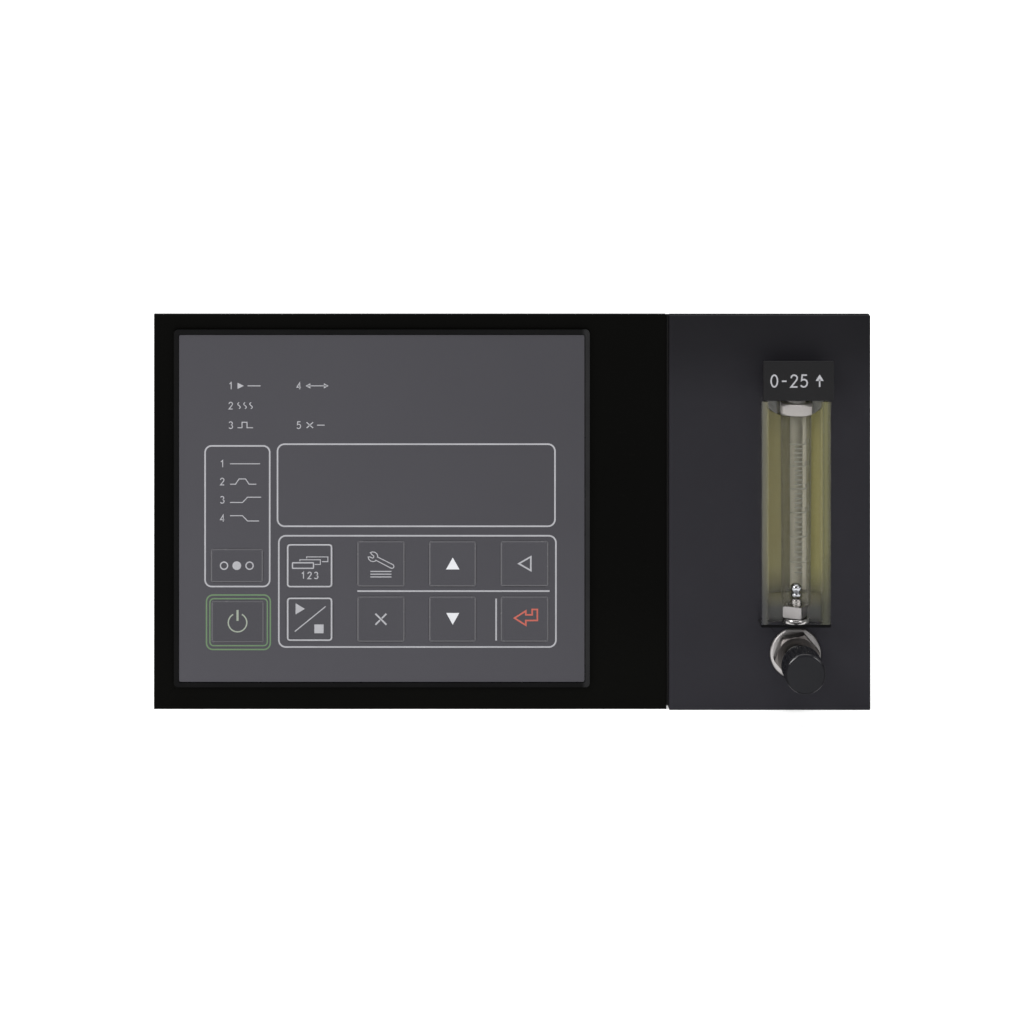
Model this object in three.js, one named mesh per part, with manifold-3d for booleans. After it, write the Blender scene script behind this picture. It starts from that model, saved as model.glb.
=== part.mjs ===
// Control panel module of a laboratory inert gas oven.
// A flat fascia in two pieces carries a membrane-key temperature controller on the left and a
// variable-area gas flowmeter with its needle valve on the right. A folded steel chassis closes the back.
//
// Millimetres, +Z up. The fascia faces -Y. The origin is at the bottom centre of the whole module:
// X = 0 is the middle of the fascia, Y = 0 is half way between the knob's face and the hose barbs, and
// Z = 0 is the plane the module stands on.
import * as THREE from "three";
import { mergeVertices } from "three/addons/utils/BufferGeometryUtils.js";
import Module from "manifold-3d";

const wasm = await Module();
wasm.setup();

// ---------------------------------------------------------------- driving dimensions
const GAP = 0.3; // clearance between touching pieces

const FASCIA_HALF = 143.2; // half the fascia's width
const FASCIA_H = 157.8; // fascia height
const PLATE_F = -46.0; // front face of the black bezel plate
const PLATE_B = -43.0; // its back face
const PLATE_R = 61.8; // its right edge
const FLOW_L = 62.7; // left edge of the gas panel
const FLOW_F = -47.5; // front skin of the gas panel
const SHEET = 1.5; // sheet-metal thickness

const CX = -52.15; // centre of the controller, across
const CZ = 80.7; // and up
const BEZ_W = 166.2; // controller bezel, outside
const BEZ_H = 142.8;
const LIP_W = 162.6; // inside of the bezel's lip, round the film
const LIP_H = 139.2;
const SLEEVE_W = 161.0; // sleeve that goes through the plate
const SLEEVE_H = 137.6;
const SLEEVE_IN_W = 158.2;
const SLEEVE_IN_H = 134.8;
const BEZ_F = -48.0; // front of the lip
const FILM_F = -47.7; // front of the keypad film
const FILM_B = -47.2;
const KEY_F = -48.0; // front of a key at rest
const BOARD_F = -39.0; // front face of the switch board
const BOARD_T = 1.6;

// name, centre x, centre z, width, height
const KEYS = [
  ["key_mode", -110.1, 57.9, 20.7, 13.2],
  ["key_power", -109.8, 35.5, 20.7, 16.5],
  ["key_display", -81.0, 57.9, 18.3, 17.0],
  ["key_run", -81.0, 36.5, 18.3, 17.0],
  ["key_menu", -52.5, 58.6, 18.7, 18.0],
  ["key_escape", -52.5, 36.5, 18.7, 18.0],
  ["key_up", -23.9, 58.6, 18.5, 17.9],
  ["key_down", -23.9, 36.5, 18.5, 17.9],
  ["key_left", 4.9, 58.7, 18.9, 17.9],
  ["key_enter", 4.9, 36.5, 18.9, 17.9],
];
const KEY_R = 1.2; // corner radius of a key
const KEY_FLANGE = 0.9; // how far a key's hidden rim stands out past its face

// Controller window behind the film, and the lamps
const WINDOW = [-88.5, 11.5, 77.5, 102.5]; // x0, x1, z0, z1
const LAMPS = [
  [-119.6, 129.5],
  [-119.6, 121.3],
  [-119.6, 113.3],
  [-90.4, 129.5],
  [-90.4, 113.3],
  [-119.6, 98.1],
  [-119.6, 90.9],
  [-119.6, 83.5],
  [-119.6, 76.3],
];

// Gas side
const TX = 113.1; // meter tube axis, across
const TY = -50.0; // meter tube axis, in depth
const VZ = 23.0; // needle valve axis, up
const VX = 113.1; // needle valve axis, across
const COVER_F = -58.3; // front of the clear cover
const COVER_L = 98.3;
const COVER_R = 126.1;
const COVER_Z0 = 36.9;
const COVER_Z1 = 125.6;
const TUBE_OD = 12.4;
const TUBE_NECK = 6.2; // the tube's ends are drawn down to this
const BORE_LOW = 4.2; // the bore widens upwards
const BORE_HIGH = 4.8;
const TUBE_Z0 = 38.1;
const TUBE_Z1 = 128.2;
const FLOAT_D = 3.8;
const FLOAT_H = 5.8;
const FLOAT_Z = 45.8; // underside of the float at rest
const KNOB_F = -80.0; // front face of the knob
const KNOB_B = -60.5;
const KNOB_D = 16.1;

// Chassis
const BODY_F = -40.9;
const BODY_B = 56.0;
const WALL_X = 139.5;
const SLOPE = 0.17; // the top falls this much per millimetre towards the back
const topAt = (y) => 151.5 - SLOPE * (y + 41); // underside of the cover
const FRAME_SCREW_Z = [24, 125];
const PORTS = { gas_inlet_port: [88, 34], gas_outlet_port: [88, 104] };

// ---------------------------------------------------------------- small solid modelling kit
const MAT = {
  black_plastic: [0x0b0b0b, 0.45, 0.0],
  black_plate: [0x0a0a0a, 0.3, 0.0],
  grey_paint: [0x2f2f33, 0.55, 0.3],
  film_grey: [0x525157, 0.5, 0.0],
  key_grey: [0x535258, 0.45, 0.0],
  zinc_steel: [0xa6a9ab, 0.42, 0.9],
  frame_black: [0x0c0c0c, 0.6, 0.0],
  abs_dark: [0x1c1d1f, 0.6, 0.0],
  board_green: [0x12492b, 0.5, 0.0],
  display_dark: [0x161618, 0.25, 0.0],
  light_guide: [0xdfe6ea, 0.1, 0.0],
  chrome: [0xc9cacc, 0.12, 1.0],
  nickel: [0xbdb7b2, 0.3, 1.0],
  block_metal: [0x515254, 0.5, 0.8],
  glass: [0xe6ece4, 0.03, 0.0],
  clear_plastic: [0xdfe0c8, 0.06, 0.0],
  olive_backing: [0x77764a, 0.55, 0.0],
  float_steel: [0xd5d7da, 0.1, 1.0],
  label_black: [0x29292b, 0.5, 0.0],
  seal_rubber: [0x101010, 0.8, 0.0],
  hose_blue: [0x3a5f86, 0.4, 0.0],
  wire_sleeve: [0x1a1a1c, 0.7, 0.0],
  ribbon_grey: [0x8a8c90, 0.6, 0.0],
  relay_blue: [0x1f3f7a, 0.45, 0.0],
  core_steel: [0x5b5d60, 0.5, 0.7],
  screw_steel: [0xb4b6b8, 0.3, 1.0],
};

function solid(geometry) {
  const g = geometry.clone();
  g.deleteAttribute("normal");
  g.deleteAttribute("uv");
  g.clearGroups();
  const m = mergeVertices(g, 1e-4);
  return new wasm.Manifold(
    new wasm.Mesh({
      numProp: 3,
      vertProperties: new Float32Array(m.attributes.position.array),
      triVerts: new Uint32Array(m.index.array),
    }),
  );
}

function geometryOf(s) {
  const mesh = s.getMesh();
  const n = mesh.numProp;
  const v = new Float32Array((mesh.vertProperties.length / n) * 3);
  for (let i = 0; i < v.length / 3; i++) {
    v[i * 3] = mesh.vertProperties[i * n];
    v[i * 3 + 1] = mesh.vertProperties[i * n + 1];
    v[i * 3 + 2] = mesh.vertProperties[i * n + 2];
  }
  const g = new THREE.BufferGeometry();
  g.setAttribute("position", new THREE.BufferAttribute(v, 3));
  g.setIndex(new THREE.BufferAttribute(new Uint32Array(mesh.triVerts), 1));
  g.computeVertexNormals();
  return g;
}

const add = (...s) => s.reduce((a, b) => a.add(b));
const cut = (a, ...s) => s.reduce((x, b) => x.subtract(b), a);

function box(x0, x1, y0, y1, z0, z1) {
  const g = new THREE.BoxGeometry(x1 - x0, y1 - y0, z1 - z0);
  g.translate((x0 + x1) / 2, (y0 + y1) / 2, (z0 + z1) / 2);
  return solid(g);
}

// A rounded rectangle in the X-Z plane, standing from y0 back to y1.
function pad(cx, cz, w, h, r, y0, y1, seg = 3) {
  const s = new THREE.Shape();
  const a = w / 2;
  const b = h / 2;
  s.moveTo(-a + r, -b);
  s.lineTo(a - r, -b);
  s.absarc(a - r, -b + r, r, -Math.PI / 2, 0, false);
  s.lineTo(a, b - r);
  s.absarc(a - r, b - r, r, 0, Math.PI / 2, false);
  s.lineTo(-a + r, b);
  s.absarc(-a + r, b - r, r, Math.PI / 2, Math.PI, false);
  s.lineTo(-a, -b + r);
  s.absarc(-a + r, -b + r, r, Math.PI, 1.5 * Math.PI, false);
  const g = new THREE.ExtrudeGeometry(s, {
    depth: y1 - y0,
    bevelEnabled: false,
    curveSegments: seg,
  });
  g.rotateX(Math.PI / 2); // shape's +Y becomes +Z, depth runs towards -Y
  g.translate(cx, y1, cz);
  return solid(g);
}

// A turned piece. profile lists [radius, height]; it is closed and turned about its own axis.
function turned(profile, axis, x, y, z, seg = 24, phase = 0) {
  const pts = profile.map(([r, h]) => new THREE.Vector2(r, h));
  const first = pts[0];
  const last = pts[pts.length - 1];
  if (first.x > 0 || last.x > 0) pts.push(first.clone());
  const g = new THREE.LatheGeometry(pts, seg, phase);
  if (axis === "z") g.rotateX(Math.PI / 2);
  if (axis === "y-") g.rotateX(Math.PI); // height runs towards -Y
  if (axis === "x") g.rotateZ(-Math.PI / 2);
  if (axis === "x-") g.rotateZ(Math.PI / 2);
  g.translate(x, y, z);
  let s = solid(g);
  if (s.volume() < 0) {
    const flipped = g.clone();
    const idx = flipped.index.array;
    for (let i = 0; i < idx.length; i += 3)
      [idx[i + 1], idx[i + 2]] = [idx[i + 2], idx[i + 1]];
    s = solid(flipped);
  }
  return s;
}

const rod = (axis, x, y, z, r, h, seg = 24, phase = 0) =>
  turned(
    [
      [0, 0],
      [r, 0],
      [r, h],
      [0, h],
    ],
    axis,
    x,
    y,
    z,
    seg,
    phase,
  );

// A section [u, v] in the Y-Z plane, carried along X from x0 to x1.
function alongX(points, x0, x1) {
  const s = new THREE.Shape(points.map(([y, z]) => new THREE.Vector2(y, z)));
  const g = new THREE.ExtrudeGeometry(s, {
    depth: x1 - x0,
    bevelEnabled: false,
  });
  // shape x -> Y, shape y -> Z, depth -> X
  g.applyMatrix4(
    new THREE.Matrix4().set(0, 0, 1, x0, 1, 0, 0, 0, 0, 1, 0, 0, 0, 0, 0, 1),
  );
  return solid(g);
}

// A section [x, y] carried along Z from z0 to z1.
function alongZ(points, z0, z1) {
  const s = new THREE.Shape(points.map(([x, y]) => new THREE.Vector2(x, y)));
  const g = new THREE.ExtrudeGeometry(s, {
    depth: z1 - z0,
    bevelEnabled: false,
  });
  g.translate(0, 0, z0);
  return solid(g);
}

// A round tube along a smooth curve.
function hose(points, r, sides, steps) {
  const curve = new THREE.CatmullRomCurve3(
    points.map((p) => new THREE.Vector3(...p)),
    false,
    "centripetal",
  );
  const s = new THREE.Shape();
  for (let i = 0; i < sides; i++) {
    const a = (i / sides) * Math.PI * 2;
    if (i === 0) s.moveTo(r * Math.cos(a), r * Math.sin(a));
    else s.lineTo(r * Math.cos(a), r * Math.sin(a));
  }
  s.closePath();
  return solid(
    new THREE.ExtrudeGeometry(s, {
      steps,
      bevelEnabled: false,
      extrudePath: curve,
    }),
  );
}

const root = new THREE.Group();
const groups = {};
function place(name, s, material, groupName) {
  const [color, roughness, metalness] = MAT[material];
  const mesh = new THREE.Mesh(
    geometryOf(s),
    new THREE.MeshStandardMaterial({ color, roughness, metalness }),
  );
  mesh.name = name;
  if (!groups[groupName]) {
    groups[groupName] = new THREE.Group();
    root.add(groups[groupName]);
  }
  groups[groupName].add(mesh);
}

// ---------------------------------------------------------------- fascia
// Black bezel plate, with the controller's opening.
place(
  "bezel_plate",
  cut(
    box(-FASCIA_HALF, PLATE_R, PLATE_F, PLATE_B, 0, FASCIA_H),
    pad(CX, CZ, SLEEVE_W + 0.8, SLEEVE_H + 0.8, 1.5, PLATE_F - 1, PLATE_B + 1),
  ),
  "black_plate",
  "fascia",
);

// Gas panel: a shallow pan folded from sheet, with the meter's slot and the valve's hole.
{
  const pan = cut(
    box(FLOW_L, FASCIA_HALF, FLOW_F, PLATE_B, 0, FASCIA_H),
    box(
      FLOW_L + SHEET,
      FASCIA_HALF - SHEET,
      FLOW_F + SHEET,
      PLATE_B + 1,
      SHEET,
      FASCIA_H - SHEET,
    ),
  );
  place(
    "gas_panel",
    cut(
      pan,
      box(101.5, 124.6, FLOW_F - 1, FLOW_F + 3, 35.2, 139.0),
      rod("y-", VX, FLOW_F + 3, VZ, 5.3, 6, 32),
    ),
    "grey_paint",
    "fascia",
  );
}

// Mounting frame behind both, with its two side flanges.
{
  const y0 = PLATE_B + GAP;
  const y1 = y0 + SHEET;
  let frame = add(
    box(-141.5, 141.5, y0, y1, 1.5, FASCIA_H - 1.5),
    box(-141.5, -140.0, y0, -28, 1.5, 153.0),
    box(140.0, 141.5, y0, -28, 1.5, 153.0),
  );
  frame = cut(
    frame,
    pad(CX, CZ, SLEEVE_W + 1.6, SLEEVE_H + 1.6, 2, y0 - 1, y1 + 1),
    box(98.8, 127.4, y0 - 1, y1 + 1, 9.0, 149.0),
  );
  // countersunk screw holes in the flanges
  for (const sx of [-1, 1])
    for (const z of FRAME_SCREW_Z)
      frame = cut(
        frame,
        turned(
          [
            [0, 0],
            [2.0, 0],
            [3.5, 1.6],
            [3.5, 3],
            [0, 3],
          ],
          sx > 0 ? "x" : "x-",
          sx * 139.95,
          -34.5,
          z,
          20,
        ),
        rod(sx > 0 ? "x" : "x-", sx * 139.0, -34.5, z, 2.0, 2, 20),
      );
  place("mounting_frame", frame, "frame_black", "fascia");
}

// ---------------------------------------------------------------- chassis
{
  const wall = (x0, x1) =>
    alongX(
      [
        [BODY_F, 0],
        [BODY_B, 0],
        [BODY_B, topAt(BODY_B) - GAP],
        [BODY_F, topAt(BODY_F) - GAP],
      ],
      x0,
      x1,
    );
  let tray = add(
    box(-WALL_X, WALL_X, BODY_F, BODY_B, 0, SHEET),
    wall(-WALL_X, -WALL_X + SHEET),
    wall(WALL_X - SHEET, WALL_X),
    box(
      -WALL_X,
      WALL_X,
      BODY_B - SHEET,
      BODY_B,
      0,
      topAt(BODY_B) - GAP,
    ),
  );
  // screw holes in the side walls
  for (const sx of [-1, 1]) {
    for (const z of FRAME_SCREW_Z)
      tray = cut(tray, rod("x", sx * 138.75 - 2, -34.5, z, 2.0, 4, 16));
    for (const y of [-8, 44])
      tray = cut(tray, rod("x", sx * 138.75 - 2, y, 125, 2.0, 4, 16));
  }
  // rear wall: hose ports, wiring hole behind the terminals, cooling slots
  for (const [x, z] of Object.values(PORTS))
    tray = cut(tray, rod("y-", x, BODY_B + 1, z, 6.4, 4, 24));
  tray = cut(tray, rod("y-", -66, BODY_B + 1, 44, 7, 4, 24));
  for (let i = 0; i < 12; i++) {
    const x = -118 + i * 9;
    tray = cut(tray, box(x - 1.6, x + 1.6, BODY_B - 3, BODY_B + 1, 72, 112));
  }
  place("chassis_tray", tray, "zinc_steel", "chassis");
}
{
  const y0 = -38.6; // starts clear of the frame's flanges
  let cover = alongX(
    [
      [BODY_F, topAt(BODY_F)],
      [BODY_B + GAP, topAt(BODY_B + GAP)],
      [BODY_B + GAP, 116],
      [BODY_B + GAP + SHEET, 116],
      [BODY_B + GAP + SHEET, topAt(BODY_B + GAP + SHEET) + SHEET],
      [BODY_F, topAt(BODY_F) + SHEET],
    ],
    -WALL_X - GAP - SHEET,
    WALL_X + GAP + SHEET,
  );
  const flange = (x0, x1) =>
    alongX(
      [
        [-27.6, 116],
        [BODY_B + GAP + SHEET, 116],
        [BODY_B + GAP + SHEET, topAt(BODY_B + GAP + SHEET) + SHEET],
        [-27.6, topAt(-27.6) + SHEET],
      ],
      x0,
      x1,
    );
  cover = add(
    cover,
    flange(-WALL_X - GAP - SHEET, -WALL_X - GAP),
    flange(WALL_X + GAP, WALL_X + GAP + SHEET),
  );
  // the front corners step in, past the frame's flanges
  cover = cut(
    cover,
    box(-145, -139.7, BODY_F - 1, -27.6, 100, 165),
    box(139.7, 145, BODY_F - 1, -27.6, 100, 165),
  );
  for (const sx of [-1, 1])
    for (const y of [-8, 44])
      cover = cut(cover, rod("x", sx * 140.55 - 2, y, 125, 2.0, 4, 16));
  // cooling slots in two rows
  for (let r = 0; r < 2; r++)
    for (let i = 0; i < 11; i++) {
      const x = -100 + i * 12;
      const y = 4 + r * 30;
      cover = cut(cover, box(x - 1.6, x + 1.6, y - 10, y + 10, 118, 165));
    }
  place("chassis_cover", cover, "zinc_steel", "chassis");
}

// Cover screws: a domed head outside and a shank through both sheets.
function sideScrew(name, sx, y, z, group) {
  const s = turned(
    [
      [0, 0],
      [1.5, 0],
      [1.5, 5.1],
      [3.4, 5.1],
      [3.1, 5.8],
      [2.2, 6.3],
      [0.9, 6.4],
      [0.9, 5.8],
      [0, 5.8],
    ],
    sx > 0 ? "x" : "x-",
    sx * (141.8 - 5.1),
    y,
    z,
    16,
  );
  place(name, s, "screw_steel", group);
}
sideScrew("cover_screw_1", -1, -8, 125, "chassis");
sideScrew("cover_screw_2", -1, 44, 125, "chassis");
sideScrew("cover_screw_3", 1, -8, 125, "chassis");
sideScrew("cover_screw_4", 1, 44, 125, "chassis");

// Flange screws: countersunk, so the flanges can lie against the opening's sides.
function flatScrew(name, sx, z, group) {
  const s = turned(
    [
      [0, 0],
      [1.5, 0],
      [1.5, 3.2],
      [2.75, 4.5],
      [0.8, 4.5],
      [0.8, 3.7],
      [0, 3.7],
    ],
    sx > 0 ? "x" : "x-",
    sx * 136.7,
    -34.5,
    z,
    20,
  );
  place(name, s, "screw_steel", group);
}
flatScrew("frame_screw_1", -1, FRAME_SCREW_Z[0], "chassis");
flatScrew("frame_screw_2", -1, FRAME_SCREW_Z[1], "chassis");
flatScrew("frame_screw_3", 1, FRAME_SCREW_Z[0], "chassis");
flatScrew("frame_screw_4", 1, FRAME_SCREW_Z[1], "chassis");

// Flanged multi-way socket on the back, for the oven's wiring: a shroud with two rows of contact holes.
{
  const x = -66;
  const z = 44;
  let socket = add(
    pad(x, z, 74, 26, 2, BODY_B + GAP, BODY_B + 3.3, 2),
    pad(x, z, 56, 20, 2.5, BODY_B + 3, BODY_B + 13, 2),
  );
  for (let r = -1; r <= 1; r += 2)
    for (let i = 0; i < 8; i++)
      socket = cut(
        socket,
        rod("y-", x - 22.4 + i * 6.4, BODY_B + 14, z + r * 3.8, 1.5, 9, 8),
      );
  // pan heads of its two fixing screws
  for (const sx of [-1, 1])
    socket = add(
      socket,
      turned(
        [
          [0, 0],
          [2.7, 0],
          [2.5, 1.2],
          [1.4, 1.8],
          [0, 1.9],
        ].map(([r, h]) => [r, -h]),
        "y-",
        x + sx * 32.4,
        BODY_B + 3.2,
        z,
        12,
      ),
    );
  place("rear_socket", socket, "abs_dark", "chassis");
}

// ---------------------------------------------------------------- controller
{
  let bezel = add(
    pad(CX, CZ, BEZ_W, BEZ_H, 1.6, BEZ_F, FILM_B + GAP + 0.6),
    pad(CX, CZ, SLEEVE_W, SLEEVE_H, 1.2, FILM_B + GAP, -36.0),
  );
  bezel = cut(
    bezel,
    pad(CX, CZ, LIP_W, LIP_H, 0.9, BEZ_F - 1, FILM_B + GAP),
    pad(CX, CZ, SLEEVE_IN_W, SLEEVE_IN_H, 0.8, BEZ_F - 1, -35),
  );
  place("controller_bezel", bezel, "black_plastic", "controller");
}
{
  let film = pad(CX, CZ, LIP_W - 0.6, LIP_H - 0.6, 0.7, FILM_F, FILM_B);
  for (const [, x, z, w, h] of KEYS)
    film = cut(
      film,
      pad(x, z, w + 0.6, h + 0.6, KEY_R + 0.3, FILM_F - 1, FILM_B + 1, 2),
    );
  place("keypad_film", film, "film_grey", "controller");
}
for (const [name, x, z, w, h] of KEYS) {
  const key = add(
    pad(x, z, w, h, KEY_R, KEY_F, FILM_B + 0.4, 2),
    pad(
      x,
      z,
      w + 2 * KEY_FLANGE,
      h + 2 * KEY_FLANGE,
      KEY_R,
      FILM_B + GAP,
      FILM_B + 1.0,
      1,
    ),
    rod("y-", x, BOARD_F - 3.9, z, 1.9, 4.0, 10),
  );
  place(name, key, "key_grey", "controller");
}
{
  // Moulded carrier behind the film: a pocket for every key, holes for the key posts, the window and the lamps.
  const f = FILM_B + GAP;
  let back = pad(CX, CZ, SLEEVE_IN_W - 0.6, SLEEVE_IN_H - 0.6, 0.6, f, f + 3.0);
  for (const [, x, z, w, h] of KEYS) {
    back = cut(
      back,
      pad(
        x,
        z,
        w + 2 * KEY_FLANGE + 0.6,
        h + 2 * KEY_FLANGE + 0.6,
        KEY_R,
        f - 1,
        f + 1.7,
        1,
      ),
      rod("y-", x, f + 4, z, 2.4, 5, 10),
    );
  }
  back = cut(
    back,
    box(WINDOW[0], WINDOW[1], f - 1, f + 4, WINDOW[2], WINDOW[3]),
  );
  for (const [x, z] of LAMPS) back = cut(back, rod("y-", x, f + 4, z, 1.9, 5, 8));
  // four moulded pillars that carry the switch board
  for (const [x, z] of [
    [-126, 20],
    [21, 20],
    [-126, 141],
    [21, 141],
  ])
    back = add(back, rod("y-", x, BOARD_F - GAP, z, 3.0, 5.2, 10));
  place("key_carrier", back, "abs_dark", "controller");
}
{
  // Switch board with its ten soldered tact switches and nine lamp packages.
  let board = box(-130, 25.6, BOARD_F, BOARD_F + BOARD_T, 14.5, 146.8);
  for (const [, x, z] of KEYS) {
    board = add(
      board,
      box(x - 3, x + 3, BOARD_F - 2.2, BOARD_F + 0.2, z - 3, z + 3),
      rod("y-", x, BOARD_F - 2.1, z, 1.6, 1.0, 8),
    );
  }
  for (const [x, z] of LAMPS)
    board = add(
      board,
      box(x - 1.6, x + 1.6, BOARD_F - 1.1, BOARD_F + 0.2, z - 1.0, z + 1.0),
    );
  board = add(
    board,
    box(-70, -44, BOARD_F + BOARD_T - 0.2, BOARD_F + BOARD_T + 5.0, 88, 94),
  );
  place("switch_board", board, "board_green", "controller");
}
{
  // Digit display: a black face block on ten short legs' worth of base, standing in the carrier's window.
  let display = box(
    WINDOW[0] + 0.5,
    WINDOW[1] - 0.5,
    -46.6,
    BOARD_F - GAP,
    WINDOW[2] + 0.5,
    WINDOW[3] - 0.5,
  );
  // two rows of digit pockets
  for (let i = 0; i < 5; i++)
    display = cut(
      display,
      box(-84 + i * 19, -70 + i * 19, -47, -46.1, 91.2, 100.4),
      box(-82 + i * 19, -72 + i * 19, -47, -46.1, 79.4, 87.8),
    );
  place("display_module", display, "display_dark", "controller");
}
{
  // Light guide: one clear comb with a short pin for every lamp.
  let guide = add(
    box(-122.5, -116.5, -43.6, -42.0, 73.4, 132.2),
    box(-122.5, -87.6, -43.6, -42.0, 126.8, 132.2),
    box(-122.5, -87.6, -43.6, -42.0, 110.6, 116.0),
  );
  for (const [x, z] of LAMPS)
    guide = add(guide, rod("y-", x, -42.8, z, 1.5, 3.8, 8));
  place("indicator_light_guide", guide, "light_guide", "controller");
}
{
  // Rear case: a rim the size of the sleeve, then a deeper box.
  const x0 = CX - SLEEVE_W / 2;
  const x1 = CX + SLEEVE_W / 2;
  const z0 = CZ - SLEEVE_H / 2;
  const z1 = CZ + SLEEVE_H / 2;
  let shell = add(
    box(x0, x1, -35.7, -33.2, z0, z1),
    box(x0 + 3, x1 - 3, -34, 20, z0 + 3, 138.0),
  );
  shell = cut(shell, box(x0 + 5, x1 - 5, -36.5, 18, z0 + 5, 136.0));
  // board pillars inside, and the rear opening for the wiring
  for (const [x, z] of [
    [-118, 26],
    [14, 26],
    [-118, 127],
    [14, 127],
  ])
    shell = add(shell, rod("y-", x, 18.5, z, 3.2, 30.4, 12));
  shell = cut(shell, rod("y-", -66, 22, 70, 6.5, 6, 20));
  for (let i = 0; i < 9; i++)
    shell = cut(
      shell,
      box(-110 + i * 14, -106 + i * 14, 17, 21, 94, 122),
    );
  place("controller_case", shell, "abs_dark", "controller");
}
{
  let board = box(-124, 20, -13.8, -12.2, 20, 133);
  board = add(
    board,
    box(-70, -44, -19.5, -13.6, 96, 102), // ribbon socket
    box(-40, -10, -12.4, -2, 26, 36), // wiring connector
    box(-30, -26.8, -12.4, -9.6, 60, 63.2),
    box(-22, -12, -12.4, -10.6, 70, 80), // processor
    rod("y-", -6, 4, 112, 6, 16.3, 16), // capacitors
    rod("y-", -6, 4, 96, 6, 16.3, 16),
  );
  place("main_board", board, "board_green", "controller");
}
{
  // Mains transformer: laminated core with the winding showing above and below.
  const core = cut(
    box(-112, -72, -11.9, 12, 92, 124),
    box(-106, -100, -13, 13, 98, 118),
    box(-84, -78, -13, 13, 98, 118),
  );
  const winding = pad(-92, 108, 16 + 11.4, 19.4, 3, -11.6, 14.5, 3);
  place("power_transformer", add(core, winding), "core_steel", "controller");
}
place(
  "output_relay",
  add(
    box(-112, -82, -11.9, 4, 30, 44),
    box(-110, -84, 3.8, 4.8, 32, 42),
  ),
  "relay_blue",
  "controller",
);
{
  // Flat ribbon between the two boards, folded in a gentle S.
  const zt = 91;
  const pts = [
    [BOARD_F + BOARD_T + 5.3, zt],
    [-27.5, zt],
    [-25.5, zt + 3],
    [-23.5, zt + 8],
    [-19.8, zt + 8],
  ];
  const t = 0.9;
  const line = [
    ...pts.map(([y, z]) => [y, z - t / 2]),
    ...pts
      .slice()
      .reverse()
      .map(([y, z]) => [y, z + t / 2]),
  ];
  line[1][0] += 0.2;
  line[3][0] += 0.3;
  place("ribbon_cable", alongX(line, -68, -46), "ribbon_grey", "controller");
}
// Clamp arms that hold the controller against the fascia from behind.
{
  const clamp = (sx) => {
    const x = sx < 0 ? CX - SLEEVE_W / 2 - GAP : CX + SLEEVE_W / 2 + GAP;
    const out = sx < 0 ? -1 : 1;
    const xs = (a, b) => (out < 0 ? [x - b, x - a] : [x + a, x + b]);
    const [a0, a1] = xs(0, 2.0);
    const [b0, b1] = xs(0, 4.6);
    return add(
      box(a0, a1, PLATE_B + GAP + SHEET + GAP, -30.0, 70, 94),
      box(b0, b1, PLATE_B + GAP + SHEET + GAP, -38.4, 70, 94),
      sx < 0
        ? box(x - 2.0, x + 4, -32.9, -30.0, 70, 94)
        : box(x - 4, x + 2.0, -32.9, -30.0, 70, 94),
    );
  };
  const trimmed = (s) =>
    cut(
      s,
      box(CX - SLEEVE_W / 2 + 2.7, CX + SLEEVE_W / 2 - 2.7, -35, 20.3, 10, 142),
    );
  place("panel_clamp_left", trimmed(clamp(-1)), "zinc_steel", "controller");
  place("panel_clamp_right", trimmed(clamp(1)), "zinc_steel", "controller");
}
// Bundled wiring from the controller to the back.
place(
  "wiring_harness",
  hose(
    [
      [-25, -1.7, 31],
      [-25, 5, 31],
      [-36, 11, 44],
      [-60, 13.5, 64],
      [-66, 17.5, 70],
      [-66, 26, 70],
      [-66, 34, 60],
      [-66, 44, 46],
      [-66, 50, 44],
      [-66, 56, 44],
    ],
    3.6,
    10,
    30,
  ),
  "wire_sleeve",
  "controller",
);

// ---------------------------------------------------------------- gas meter
{
  // Carrier plate behind the frame, with windows for the two blocks.
  let plate = box(91.1, 135.1, -40.9, -39.4, 4, 148.5);
  plate = cut(
    plate,
    box(101.4, 124.8, -42, -38, 11.4, 46.5),
    box(101.4, 124.8, -42, -38, 124.5, 139.2),
  );
  place("meter_bracket", plate, "zinc_steel", "gas");
}
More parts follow.
